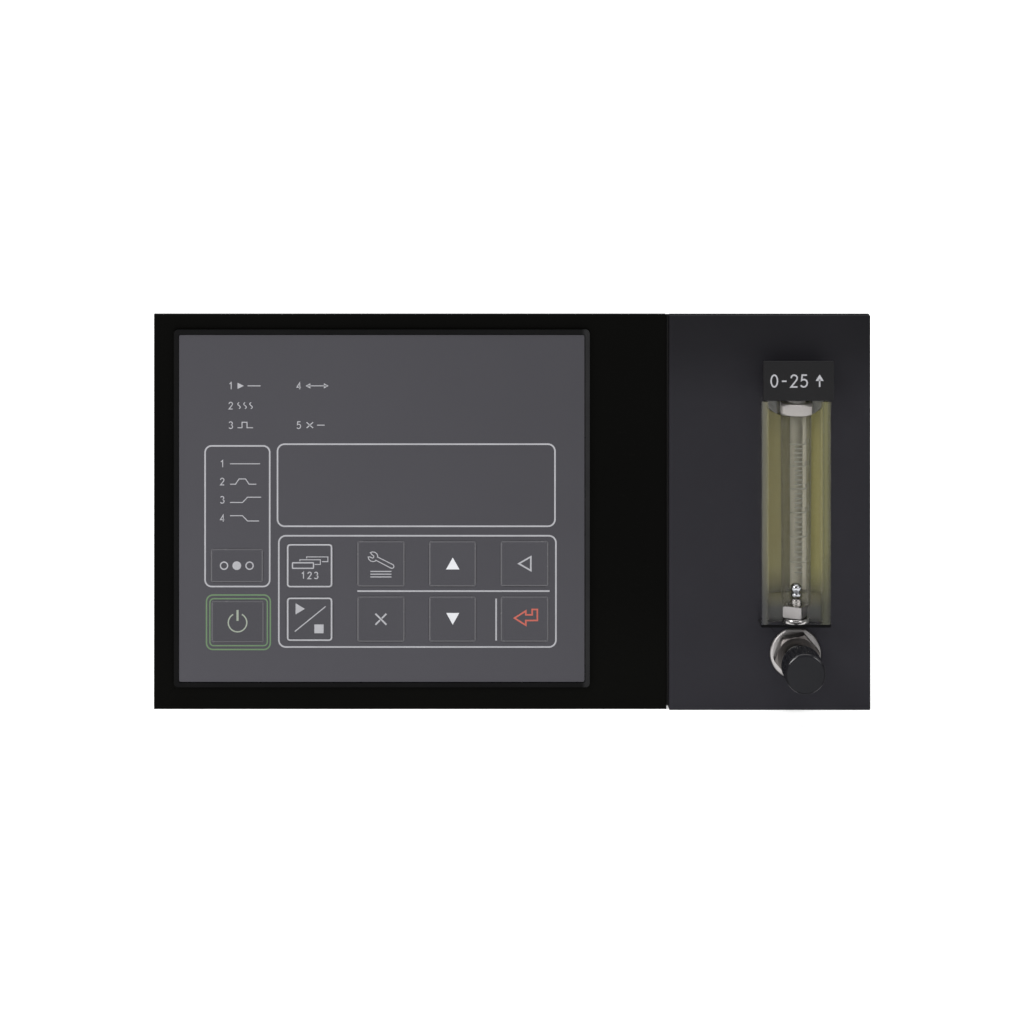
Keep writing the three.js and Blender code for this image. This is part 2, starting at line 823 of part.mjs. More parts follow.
// The upper block's front lip ends below in half an ellipse. grow widens it to clear its neighbour.
function headLip(grow) {
  const s = new THREE.Shape();
  s.absellipse(113.1, 125.4, 12.6 + grow, 8.8 + grow, 0, Math.PI * 2, false, 0);
  const g = new THREE.ExtrudeGeometry(s, {
    depth: 5.4 + 4 * grow,
    bevelEnabled: false,
    curveSegments: 14,
  });
  g.rotateX(Math.PI / 2);
  g.translate(0, -41.2 + 2 * grow, 0);
  return cut(
    solid(g),
    box(98, 128, -50, -38, 126.3, 138),
    box(98, 101.9 - grow, -50, -38, 110, 138),
    box(124.3 + grow, 128, -50, -38, 110, 138),
  );
}
{
  // Backing: a shallow trough that the tube lies in.
  const n = 12;
  const arc = [];
  for (let i = 1; i < n; i++) {
    const t = 1 - (2 * i) / n;
    arc.push([113.1 + t * 10.3, -43.0 - 3.6 * t * t * Math.abs(t)]);
  }
  const profile = [
    [101.9, -41.2],
    [124.3, -41.2],
    [124.3, -46.6],
    [123.5, -46.6],
    ...arc,
    [102.7, -46.6],
    [101.9, -46.6],
  ];
  place(
    "meter_backing",
    cut(alongZ(profile, 46.4, 124.7), headLip(GAP)),
    "olive_backing",
    "gas",
  );
}
{
  // Upper block: the tube's top end, and the outlet at the back.
  let block = add(
    box(101.9, 124.3, -57.2, -24, 126.3, 138.6),
    box(101.9, 124.3, -43.0, -24, 125.1, 138.6),
    cut(headLip(0), box(106.1, 120.1, -50, -43.1, 110, 126.4)), // recess for the nut
  );
  block = cut(
    block,
    rod("z", TX, TY, 125, 3.4, 3.6, 20), // tube socket
    rod("y-", TX, -22, 132.6, 2.0, 30, 12), // outlet drilling
    rod("z", TX, TY, 128, 2.0, 6.6, 12),
  );
  place("meter_upper_block", block, "block_metal", "gas");
}
{
  // Lower block: needle valve body with the tube's seat on its shelf and the valve neck through the panel.
  let block = add(
    box(101.9, 124.3, -45.6, -12, 11.9, 34.8),
    box(101.9, 124.3, -42.8, -12, 34.5, 46.0),
    box(TX - 3.6, TX + 3.6, TY, -42.5, 36.1, 37.8),
    rod("z", TX, TY, 36.1, 5.2, 1.7, 28),
    rod("y-", VX, -45.0, VZ, 4.7, 10.2, 24),
  );
  block = cut(
    block,
    rod("y-", VX, -26, VZ, 2.3, 32, 20), // stem bore
    rod("y-", VX, -20, VZ, 1.0, 8, 10), // seat
    rod("y-", VX, -11, 34, 2.0, 14, 12), // inlet drilling
  );
  place("needle_valve_body", block, "block_metal", "gas");
}
place(
  "taper_tube",
  turned(
    [
      [BORE_LOW / 2, TUBE_Z0],
      [TUBE_NECK / 2, TUBE_Z0],
      [TUBE_NECK / 2, 42.9],
      [TUBE_OD / 2 - 0.9, 43.1],
      [TUBE_OD / 2 - 0.3, 43.9],
      [TUBE_OD / 2, 118.1],
      [TUBE_OD / 2 - 0.9, 119.0],
      [TUBE_NECK / 2, 119.1],
      [TUBE_NECK / 2, TUBE_Z1],
      [BORE_HIGH / 2, TUBE_Z1],
    ],
    "z",
    TX,
    TY,
    0,
    32,
  ),
  "glass",
  "gas",
);
place(
  "float",
  turned(
    [
      [0, 0],
      [0.9, 0.2],
      [FLOAT_D / 2 - 0.1, 0.9],
      [FLOAT_D / 2 - 0.1, 1.6],
      [1.3, 2.3],
      [FLOAT_D / 2, 3.1],
      [FLOAT_D / 2, 4.4],
      [1.1, 5.5],
      [0, FLOAT_H],
    ],
    "z",
    TX,
    TY,
    FLOAT_Z,
    20,
  ),
  "float_steel",
  "gas",
);
// Square gland nuts that hold the tube's ends: a turned blank with chamfered rims, cut to four flats.
function squareNut(z0, z1, side, across, angle, chamfer) {
  const blank = turned(
    [
      [0, z0],
      [across / 2 - chamfer, z0],
      [across / 2, z0 + chamfer * 0.75],
      [across / 2, z1 - chamfer * 0.75],
      [across / 2 - chamfer, z1],
      [0, z1],
    ],
    "z",
    TX,
    TY,
    0,
    32,
  );
  const g = new THREE.BoxGeometry(side, side, z1 - z0 + 2);
  g.rotateZ(angle);
  g.translate(TX, TY, (z0 + z1) / 2);
  return blank.intersect(solid(g));
}
place(
  "upper_gland_nut",
  cut(
    add(
      squareNut(119.4, 123.9, 12.4, 16.0, -0.08, 1.1),
      rod("z", TX, TY, 123.7, 3.95, 1.2, 24),
    ),
    rod("z", TX, TY, 118, 3.4, 8, 20),
  ),
  "nickel",
  "gas",
);
place(
  "lower_gland_nut",
  cut(
    squareNut(38.1, 42.7, 8.5, 12.0, -0.53, 0.5),
    rod("z", TX, TY, 37, 3.4, 8, 20),
  ),
  "nickel",
  "gas",
);
// Seal between the upper nut and the block.
const seal = (z) =>
  turned(
    [
      [3.45, z],
      [4.9, z],
      [4.9, z + 0.8],
      [3.45, z + 0.8],
    ],
    "z",
    TX,
    TY,
    0,
    20,
  );
place("upper_seal", seal(125.2), "seal_rubber", "gas");
{
  // Stop pin in the foot of the bore: the float lands on it.
  const stop = turned(
    [
      [0, TUBE_Z0],
      [1.75, TUBE_Z0],
      [1.75, 44.9],
      [1.3, 45.5],
      [0, 45.5],
    ],
    "z",
    TX,
    TY,
    0,
    16,
  );
  place("float_stop", stop, "nickel", "gas");
}
// Clear cover: a U that stands on the panel round the tube.
{
  const w = 1.5;
  const profile = [
    [COVER_L, COVER_F],
    [COVER_R, COVER_F],
    [COVER_R, FLOW_F - GAP],
    [COVER_R - w, FLOW_F - GAP],
    [COVER_R - w, COVER_F + w],
    [COVER_L + w, COVER_F + w],
    [COVER_L + w, FLOW_F - GAP],
    [COVER_L, FLOW_F - GAP],
  ];
  place(
    "meter_cover",
    alongZ(profile, COVER_Z0, COVER_Z1),
    "clear_plastic",
    "gas",
  );
  // Thin dark seal along the cover's lower edge.
  place(
    "cover_foot_seal",
    alongZ(profile, COVER_Z0 - 1.1, COVER_Z0 - GAP),
    "seal_rubber",
    "gas",
  );
}
place(
  "meter_label_plate",
  pad(
    113.1,
    133.85,
    28.0,
    15.7,
    0.4,
    COVER_F - 0.4,
    COVER_F + 0.8,
  ),
  "label_black",
  "gas",
);

// ---------------------------------------------------------------- needle valve trim, stem and knob
place(
  "valve_trim_ring",
  turned(
    [
      [5.2, 0],
      [10.3, 0],
      [10.3, 0.7],
      [9.6, 1.5],
      [5.2, 1.5],
    ],
    "y-",
    VX,
    FLOW_F - GAP,
    VZ,
    40,
  ),
  "chrome",
  "gas",
);
place(
  "valve_gland_nut",
  cut(
    turned(
      [
        [0, 0],
        [9.3, 0],
        [9.3, 4.6],
        [8.4, 5.6],
        [0, 5.6],
      ],
      "y-",
      VX,
      FLOW_F - GAP - 1.5 - GAP,
      VZ,
      6,
      0.35,
    ),
    rod("y-", VX, -48, VZ, 5.0, 10, 24),
  ),
  "chrome",
  "gas",
);
place(
  "valve_stem",
  turned(
    [
      [0, 0],
      [0.35, 0.3],
      [0.6, 2.2],
      [1.9, 6.0],
      [1.9, 44.5],
      [0, 44.5],
    ],
    "y-",
    VX,
    -24.4,
    VZ,
    20,
  ),
  "nickel",
  "gas",
);
{
  const len = KNOB_B - KNOB_F;
  let knob = turned(
    [
      [0, 0],
      [5.6, 0],
      [5.9, 0.4],
      [6.2, 4.8],
      [7.8, 6.0],
      [KNOB_D / 2, 6.7],
      [KNOB_D / 2, len - 0.9],
      [KNOB_D / 2 - 0.7, len],
      [0, len],
    ],
    "y-",
    VX,
    KNOB_B,
    VZ,
    40,
  );
  // grip flutes round the side
  for (let i = 0; i < 20; i++) {
    const a = (i / 20) * Math.PI * 2;
    knob = cut(
      knob,
      rod(
        "y-",
        VX + 8.4 * Math.cos(a),
        KNOB_B - 7.7,
        VZ + 8.4 * Math.sin(a),
        0.6,
        len - 7.7 - 1.6,
        6,
      ),
    );
  }
  knob = cut(
    knob,
    rod("y-", VX, KNOB_B + 1, VZ, 2.2, 10, 24),
    rod("x", VX, KNOB_B - 2.2, VZ, 1.3, 8, 12),
  );
  place("valve_knob", knob, "black_plastic", "gas");
}
place(
  "knob_set_screw",
  turned(
    [
      [0, 0],
      [1.0, 0],
      [1.0, 3.0],
      [0, 3.0],
    ],
    "x",
    VX + 2.3,
    KNOB_B - 2.2,
    VZ,
    12,
  ),
  "screw_steel",
  "gas",
);

// ---------------------------------------------------------------- hose ports and hoses
for (const [name, [x, z]] of Object.entries(PORTS)) {
  // From the inside: spigot, hexagon flange inside the wall, neck through it, flange outside, barbed tail.
  let port = add(
    turned(
      [
        [0, 0],
        [5.0, 0],
        [5.0, 8],
        [0, 8],
      ],
      "y-",
      x,
      BODY_B - SHEET - GAP,
      z,
      20,
    ),
    turned(
      [
        [0, 0],
        [9.0, 0],
        [9.0, 4],
        [0, 4],
      ],
      "y-",
      x,
      BODY_B - SHEET - GAP,
      z,
      6,
    ),
    turned(
      [
        [0, 0],
        [6.0, 0],
        [6.0, 4.4],
        [0, 4.4],
      ],
      "y-",
      x,
      BODY_B + 2,
      z,
      24,
    ),
    turned(
      [
        [0, 0],
        [8.6, 0],
        [8.6, 3.7],
        [0, 3.7],
      ],
      "y-",
      x,
      BODY_B + 4,
      z,
      6,
    ),
    turned(
      [
        [0, 0],
        [2.9, 0],
        [4.1, 3.6],
        [3.4, 3.6],
        [4.2, 7.4],
        [3.4, 7.4],
        [4.2, 11.2],
        [3.4, 11.2],
        [3.4, 20.3],
        [0, 20.3],
      ],
      "y-",
      x,
      80,
      z,
      16,
    ),
  );
  port = cut(port, rod("y-", x, 82, z, 1.9, 40, 12));
  place(name, port, "nickel", "gas");
}
place(
  "gas_inlet_hose",
  hose(
    [
      [88, 45.8, 34],
      [88, 36, 34],
      [90, 24, 34],
      [100, 10, 34],
      [VX - 1, 0, 34],
      [VX, -6, 34],
      [VX, -11.7, 34],
    ],
    3.0,
    10,
    24,
  ),
  "hose_blue",
  "gas",
);
place(
  "gas_outlet_hose",
  hose(
    [
      [88, 45.8, 104],
      [88, 36, 104],
      [91, 20, 108],
      [103, -2, 126],
      [TX - 0.5, -12, 132],
      [TX, -18, 132.6],
      [TX, -23.7, 132.6],
    ],
    3.0,
    10,
    24,
  ),
  "hose_blue",
  "gas",
);

export default root;
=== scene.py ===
import math

import bmesh
import bpy
from mathutils import Matrix, Vector


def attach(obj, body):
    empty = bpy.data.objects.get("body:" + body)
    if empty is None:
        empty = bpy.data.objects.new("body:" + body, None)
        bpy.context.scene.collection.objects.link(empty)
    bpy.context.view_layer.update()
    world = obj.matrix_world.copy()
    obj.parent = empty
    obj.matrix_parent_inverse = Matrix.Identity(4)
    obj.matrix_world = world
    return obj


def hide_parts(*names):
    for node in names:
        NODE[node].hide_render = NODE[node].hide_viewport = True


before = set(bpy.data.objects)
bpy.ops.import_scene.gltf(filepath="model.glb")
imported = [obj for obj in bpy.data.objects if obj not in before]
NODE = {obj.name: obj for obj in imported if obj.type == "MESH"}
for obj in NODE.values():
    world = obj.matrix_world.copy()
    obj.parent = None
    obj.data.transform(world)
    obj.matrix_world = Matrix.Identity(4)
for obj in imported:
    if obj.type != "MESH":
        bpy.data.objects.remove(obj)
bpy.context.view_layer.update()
MM = 0.001

# ------------------------------------------------------------------ measures shared with the frame (mm)
FILM_Y = -47.7
KEY_Y = -48.0
TX, TY = 113.1, -50.0
VX, VZ = 113.1, 23.0

KEYS = {
    "key_mode": (-110.1, 57.9, 20.7, 13.2),
    "key_power": (-109.8, 35.5, 20.7, 16.5),
    "key_display": (-81.0, 57.9, 18.3, 17.0),
    "key_run": (-81.0, 36.5, 18.3, 17.0),
    "key_menu": (-52.5, 58.6, 18.7, 18.0),
    "key_escape": (-52.5, 36.5, 18.7, 18.0),
    "key_up": (-23.9, 58.6, 18.5, 17.9),
    "key_down": (-23.9, 36.5, 18.5, 17.9),
    "key_left": (4.9, 58.7, 18.9, 17.9),
    "key_enter": (4.9, 36.5, 18.9, 17.9),
}


# ------------------------------------------------------------------ materials
def srgb(r, g, b):
    """A colour read in 0-255 display values, as linear light."""
    out = []
    for v in (r, g, b):
        v /= 255.0
        out.append(v / 12.92 if v <= 0.04045 else ((v + 0.055) / 1.055) ** 2.4)
    return tuple(out)


def tint(color, k):
    return tuple(max(0.0, min(1.0, c * k)) for c in color[:3]) + (1.0,)


def surface(
    name,
    color,
    rough=0.5,
    metallic=0.0,
    spec=0.5,
    vary=0.08,
    vary_scale=9.0,
    rough_vary=0.05,
    bump=0.0,
    bump_scale=900.0,
    bump_mm=0.05,
    stretch=(1, 1, 1),
    coat=0.0,
    coat_rough=0.08,
    alpha=1.0,
    ior=1.45,
    color2=None,
    dust=0.0,
    detail=4.0,
    sheen=0.0,
):
    """A procedural finish: broad colour drift, fine roughness drift and a fine bump, all in object space."""
    m = bpy.data.materials.new(name)
    m.use_nodes = True
    nt = m.node_tree
    nt.nodes.clear()
    out = nt.nodes.new("ShaderNodeOutputMaterial")
    b = nt.nodes.new("ShaderNodeBsdfPrincipled")
    nt.links.new(b.outputs[0], out.inputs[0])
    tc = nt.nodes.new("ShaderNodeTexCoord")
    mp = nt.nodes.new("ShaderNodeMapping")
    mp.inputs["Scale"].default_value = stretch
    nt.links.new(tc.outputs["Object"], mp.inputs["Vector"])

    def noise(scale, det=detail, rough_=0.55):
        n = nt.nodes.new("ShaderNodeTexNoise")
        n.inputs["Scale"].default_value = scale
        n.inputs["Detail"].default_value = det
        n.inputs["Roughness"].default_value = rough_
        nt.links.new(mp.outputs[0], n.inputs["Vector"])
        return n

    ramp = nt.nodes.new("ShaderNodeValToRGB")
    ramp.color_ramp.elements[0].position = 0.3
    ramp.color_ramp.elements[1].position = 0.7
    ramp.color_ramp.elements[0].color = tint(color, 1 - vary)
    ramp.color_ramp.elements[1].color = tint(color2 or color, 1 + vary)
    nt.links.new(noise(vary_scale).outputs[0], ramp.inputs[0])
    last = ramp.outputs[0]
    if dust:
        geo = nt.nodes.new("ShaderNodeNewGeometry")
        sep = nt.nodes.new("ShaderNodeSeparateXYZ")
        nt.links.new(geo.outputs["Normal"], sep.inputs[0])
        up = nt.nodes.new("ShaderNodeMapRange")
        up.inputs["From Min"].default_value = 0.2
        up.inputs["From Max"].default_value = 1.0
        up.inputs["To Min"].default_value = 0.0
        up.inputs["To Max"].default_value = dust
        nt.links.new(sep.outputs["Z"], up.inputs["Value"])
        mix = nt.nodes.new("ShaderNodeMix")
        mix.data_type = "RGBA"
        mix.inputs[7].default_value = (0.35, 0.34, 0.32, 1)
        nt.links.new(up.outputs[0], mix.inputs[0])
        nt.links.new(last, mix.inputs[6])
        last = mix.outputs[2]
    nt.links.new(last, b.inputs["Base Color"])
    if rough_vary:
        mr = nt.nodes.new("ShaderNodeMapRange")
        mr.inputs["From Min"].default_value = 0.3
        mr.inputs["From Max"].default_value = 0.7
        mr.inputs["To Min"].default_value = max(0.02, rough - rough_vary)
        mr.inputs["To Max"].default_value = min(1.0, rough + rough_vary)
        nt.links.new(noise(vary_scale * 4.7, 5.0).outputs[0], mr.inputs["Value"])
        nt.links.new(mr.outputs[0], b.inputs["Roughness"])
    else:
        b.inputs["Roughness"].default_value = rough
    if bump:
        bp = nt.nodes.new("ShaderNodeBump")
        bp.inputs["Strength"].default_value = bump
        bp.inputs["Distance"].default_value = bump_mm * MM
        nt.links.new(noise(bump_scale, 3.0).outputs[0], bp.inputs["Height"])
        nt.links.new(bp.outputs[0], b.inputs["Normal"])
    b.inputs["Metallic"].default_value = metallic
    b.inputs["Specular IOR Level"].default_value = spec
    b.inputs["IOR"].default_value = ior
    b.inputs["Coat Weight"].default_value = coat
    b.inputs["Coat Roughness"].default_value = coat_rough
    b.inputs["Alpha"].default_value = alpha
    b.inputs["Sheen Weight"].default_value = sheen
    return m


def node_of(m, kind):
    return next(n for n in m.node_tree.nodes if n.bl_idname == kind)


def clear_material(name, color, alpha_face, alpha_edge, rough, power, spec=0.5, coat=0.0):
    """Clear plastic or glass as a see-through skin: it thickens towards its edges, as real walls do."""
    m = bpy.data.materials.new(name)
    m.use_nodes = True
    nt = m.node_tree
    nt.nodes.clear()
    out = nt.nodes.new("ShaderNodeOutputMaterial")
    b = nt.nodes.new("ShaderNodeBsdfPrincipled")
    nt.links.new(b.outputs[0], out.inputs[0])
    lw = nt.nodes.new("ShaderNodeLayerWeight")
    lw.inputs["Blend"].default_value = 0.5
    pw = nt.nodes.new("ShaderNodeMath")
    pw.operation = "POWER"
    pw.inputs[1].default_value = power
    nt.links.new(lw.outputs["Facing"], pw.inputs[0])
    mr = nt.nodes.new("ShaderNodeMapRange")
    mr.inputs["To Min"].default_value = alpha_face
    mr.inputs["To Max"].default_value = alpha_edge
    nt.links.new(pw.outputs[0], mr.inputs["Value"])
    nt.links.new(mr.outputs[0], b.inputs["Alpha"])
    tc = nt.nodes.new("ShaderNodeTexCoord")
    n = nt.nodes.new("ShaderNodeTexNoise")
    n.inputs["Scale"].default_value = 30
    nt.links.new(tc.outputs["Object"], n.inputs["Vector"])
    ramp = nt.nodes.new("ShaderNodeValToRGB")
    ramp.color_ramp.elements[0].color = tint(color, 0.94)
    ramp.color_ramp.elements[1].color = tint(color, 1.06)
    nt.links.new(n.outputs[0], ramp.inputs[0])
    nt.links.new(ramp.outputs[0], b.inputs["Base Color"])
    b.inputs["Roughness"].default_value = rough
    b.inputs["Specular IOR Level"].default_value = spec
    b.inputs["Coat Weight"].default_value = coat
    b.inputs["Coat Roughness"].default_value = 0.03
    return m


def wall_tint(m, stops, side, face):
    """Cover seen from the front: where a wall stands behind the front skin, the plastic shows its own tint."""
    nt = m.node_tree
    b = node_of(m, "ShaderNodeBsdfPrincipled")
    tc = nt.nodes.new("ShaderNodeTexCoord")
    place = nt.nodes.new("ShaderNodeSeparateXYZ")
    nt.links.new(tc.outputs["Generated"], place.inputs[0])
    ramp = nt.nodes.new("ShaderNodeValToRGB")
    while len(ramp.color_ramp.elements) < len(stops):
        ramp.color_ramp.elements.new(0.5)
    for e, (pos, k) in zip(ramp.color_ramp.elements, stops):
        e.position = pos
    for e, (pos, k) in zip(ramp.color_ramp.elements, stops):
        e.color = (k, k, k, 1)
    nt.links.new(place.outputs[0], ramp.inputs[0])
    turn = nt.nodes.new("ShaderNodeSeparateXYZ")
    nt.links.new(tc.outputs["Normal"], turn.inputs[0])
    front = nt.nodes.new("ShaderNodeMath")
    front.operation = "MULTIPLY"
    front.use_clamp = True
    front.inputs[1].default_value = -1.0
    nt.links.new(turn.outputs[1], front.inputs[0])
    skin = nt.nodes.new("ShaderNodeMath")
    skin.operation = "LESS_THAN"
    skin.inputs[1].default_value = 0.09
    nt.links.new(place.outputs[1], skin.inputs[0])
    only = nt.nodes.new("ShaderNodeMath")
    only.operation = "MULTIPLY"
    nt.links.new(front.outputs[0], only.inputs[0])
    nt.links.new(skin.outputs[0], only.inputs[1])
    a = nt.nodes.new("ShaderNodeMath")
    a.operation = "MULTIPLY"
    nt.links.new(only.outputs[0], a.inputs[0])
    nt.links.new(ramp.outputs[0], a.inputs[1])
    flank = nt.nodes.new("ShaderNodeMath")
    flank.operation = "ABSOLUTE"
    nt.links.new(turn.outputs[0], flank.inputs[0])
    s = nt.nodes.new("ShaderNodeMath")
    s.operation = "MULTIPLY_ADD"
    s.inputs[1].default_value = side
    s.inputs[2].default_value = face
    nt.links.new(flank.outputs[0], s.inputs[0])
    total = nt.nodes.new("ShaderNodeMath")
    total.operation = "ADD"
    total.use_clamp = True
    nt.links.new(a.outputs[0], total.inputs[0])
    nt.links.new(s.outputs[0], total.inputs[1])
    nt.links.new(total.outputs[0], b.inputs["Alpha"])
    return m


def painted_edge_highlight(m, across, up):
    """A painted highlight: a shine that only parts of an edge have, by place across and up the piece."""
    nt = m.node_tree
    b = node_of(m, "ShaderNodeBsdfPrincipled")
    tc = nt.nodes.new("ShaderNodeTexCoord")
    place = nt.nodes.new("ShaderNodeSeparateXYZ")
    nt.links.new(tc.outputs["Generated"], place.inputs[0])
    both = nt.nodes.new("ShaderNodeMath")
    both.operation = "MULTIPLY"
    for i, (out, stops) in enumerate(((0, across), (2, up))):
        ramp = nt.nodes.new("ShaderNodeValToRGB")
        while len(ramp.color_ramp.elements) < len(stops):
            ramp.color_ramp.elements.new(0.5)
        for e, (pos, k) in zip(ramp.color_ramp.elements, stops):
            e.position = pos
        for e, (pos, k) in zip(ramp.color_ramp.elements, stops):
            e.color = (k, k, k, 1)
        nt.links.new(place.outputs[out], ramp.inputs[0])
        nt.links.new(ramp.outputs[0], both.inputs[i])
    nt.links.new(both.outputs[0], b.inputs["Specular IOR Level"])
    return m


def painted_shade_along(m, axis, stops):
    """Painted light and shade: a slow change of tone across a piece; stops are (place from 0 to 1, factor or r, g, b
    factors) along one axis.
    """
    stops = [(pos, k if isinstance(k, tuple) else (k, k, k)) for pos, k in stops]
    nt = m.node_tree
    b = node_of(m, "ShaderNodeBsdfPrincipled")
    base = b.inputs["Base Color"].links[0].from_socket
    tc = nt.nodes.new("ShaderNodeTexCoord")
    sep = nt.nodes.new("ShaderNodeSeparateXYZ")
    nt.links.new(tc.outputs["Generated"], sep.inputs[0])
    ramp = nt.nodes.new("ShaderNodeValToRGB")
    top = max(max(k) for _, k in stops)
    els = ramp.color_ramp.elements
    while len(els) < len(stops):
        els.new(0.5)
    for e, (pos, k) in zip(els, stops):
        e.position = pos
    for e, (pos, k) in zip(ramp.color_ramp.elements, stops):
        e.color = (k[0] / top, k[1] / top, k[2] / top, 1)
    nt.links.new(sep.outputs["XYZ".index(axis)], ramp.inputs[0])
    mix = nt.nodes.new("ShaderNodeVectorMath")
    mix.operation = "MULTIPLY"
    nt.links.new(base, mix.inputs[0])
    nt.links.new(ramp.outputs[0], mix.inputs[1])
    gain = nt.nodes.new("ShaderNodeVectorMath")
    gain.operation = "SCALE"
    gain.inputs["Scale"].default_value = top
    nt.links.new(mix.outputs[0], gain.inputs[0])
    nt.links.new(gain.outputs[0], b.inputs["Base Color"])
    return m


M = {}
M["black_plate"] = surface(
    "black_plate", (0.0013, 0.0013, 0.0011), 0.35, spec=0.018, vary=0.12, vary_scale=5, bump=0.05, bump_scale=700, bump_mm=0.02
)
M["grey_paint"] = surface(
    "grey_paint", (0.0123, 0.0119, 0.0145), 0.55, spec=0.08, vary=0.05, vary_scale=14, bump=0.35, bump_scale=1500, bump_mm=0.05
)
M["film_grey"] = surface(
    "film_grey", (0.0330, 0.0321, 0.0368), 0.5, spec=0.14, vary=0.025, vary_scale=11, rough_vary=0.04, bump=0.2, bump_scale=2600, bump_mm=0.02
)
# Key colour: the film colour lifted by the film's painted shading at the keys' height.
M["key_grey"] = surface(
    "key_grey", (0.0366, 0.0357, 0.0408), 0.5, spec=0.14, vary=0.02, vary_scale=20, rough_vary=0.03, bump=0.15, bump_scale=2600, bump_mm=0.02
)
# Lighter, glossier copy of the key colour for the keys' edge faces: a painted highlight outline.
M["key_rim_painted_highlight"] = surface(
    "key_rim_painted_highlight", (0.054, 0.053, 0.058), 0.24, spec=0.45, vary=0.04, vary_scale=90, bump=0.1, bump_scale=1400, bump_mm=0.01
)
M["bezel_black"] = surface(
    "bezel_black", (0.0027, 0.0027, 0.0028), 0.3, spec=0.04, vary=0.15, vary_scale=30, bump=0.15, bump_scale=1800, bump_mm=0.02
)
M["frame_black"] = surface(
    "frame_black", (0.0035, 0.0035, 0.0034), 0.6, spec=0.12, vary=0.12, vary_scale=12, bump=0.3, bump_scale=1200, bump_mm=0.04
)
M["zinc_steel"] = surface(
    "zinc_steel",
    (0.25, 0.256, 0.262),
    0.42,
    metallic=0.9,
    vary=0.07,
    vary_scale=22,
    color2=(0.285, 0.283, 0.272),
    rough_vary=0.09,
    bump=0.2,
    bump_scale=500,
    bump_mm=0.03,
    dust=0.06,
)
M["abs_dark"] = surface(
    "abs_dark", (0.022, 0.0225, 0.024), 0.55, spec=0.35, vary=0.12, vary_scale=25, bump=0.5, bump_scale=1100, bump_mm=0.05
)
M["display_dark"] = surface(
    "display_dark", (0.008, 0.008, 0.009), 0.22, spec=0.5, vary=0.1, bump=0.05, bump_scale=600
)
M["light_guide"] = surface(
    "light_guide", (0.72, 0.76, 0.78), 0.12, spec=0.6, vary=0.03, alpha=0.6, bump=0.05
)
M["dark_chrome"] = surface(
    "dark_chrome", (0.135, 0.124, 0.119), 0.36, metallic=1.0, vary=0.05, vary_scale=60, rough_vary=0.03, bump=0.03, bump_scale=900, bump_mm=0.02
)
M["chrome"] = surface(
    "chrome", (0.40, 0.385, 0.38), 0.2, metallic=1.0, vary=0.03, vary_scale=60, rough_vary=0.03, bump=0.03, bump_scale=900, bump_mm=0.02
)
M["nickel"] = surface(
    "nickel", (0.60, 0.57, 0.55), 0.26, metallic=1.0, vary=0.05, vary_scale=70, rough_vary=0.06, bump=0.1, bump_scale=1300, bump_mm=0.02
)
M["nut_satin"] = surface(
    "nut_satin", (0.24, 0.226, 0.219), 0.42, metallic=0.35, vary=0.04, vary_scale=90, rough_vary=0.06, bump=0.2, bump_scale=1500, bump_mm=0.02
)
M["nut_low"] = surface(
    "nut_low", (0.262, 0.25, 0.248), 0.34, metallic=1.0, vary=0.05, vary_scale=70, rough_vary=0.04, bump=0.1, bump_scale=900, bump_mm=0.02
)
M["ring_chrome"] = surface(
    "ring_chrome", (0.37, 0.355, 0.35), 0.34, metallic=1.0, vary=0.03, vary_scale=60, rough_vary=0.03, bump=0.03, bump_scale=900, bump_mm=0.02
)
M["block_metal"] = surface(
    "block_metal", (0.072, 0.072, 0.070), 0.5, metallic=0.0, spec=0.2, vary=0.07, vary_scale=50, rough_vary=0.06, bump=0.25, bump_scale=1500, bump_mm=0.02
)
M["block_low_painted_light"] = surface(
    "block_low_painted_light", (0.072, 0.072, 0.070), 0.5, metallic=0.0, spec=0.2, vary=0.07, vary_scale=50, rough_vary=0.06, bump=0.25, bump_scale=1500, bump_mm=0.02
)
M["float_steel"] = surface(
    "float_steel", (0.46, 0.47, 0.50), 0.13, metallic=1.0, vary=0.02, vary_scale=100, rough_vary=0.02, bump=0.02, bump_scale=900, bump_mm=0.01
)
M["olive"] = surface(
    "olive_backing", (0.156, 0.141, 0.066), 0.5, spec=0.25, vary=0.06, vary_scale=40, rough_vary=0.06, bump=0.2, bump_scale=900, bump_mm=0.04, stretch=(1, 1, 0.25)
)
M["label_black"] = surface(
    "label_black", (0.0078, 0.0077, 0.0082), 0.42, spec=0.08, vary=0.05, vary_scale=60, bump=0.15, bump_scale=1500, bump_mm=0.02
)
M["knob_black"] = surface(
    "knob_black", (0.0084, 0.0085, 0.0098), 0.16, spec=0.09, vary=0.08, vary_scale=70, rough_vary=0.06, bump=0.25, bump_scale=1700, bump_mm=0.03
)
M["knob_rim_painted_highlight"] = surface(
    "knob_rim_painted_highlight", (0.0082, 0.0080, 0.0092), 0.2, spec=0.6, vary=0.05, vary_scale=90, bump=0.05, bump_scale=1500, bump_mm=0.01
)
M["seal_rubber"] = surface("seal_rubber", (0.012, 0.012, 0.012), 0.75, spec=0.3, bump=0.3)
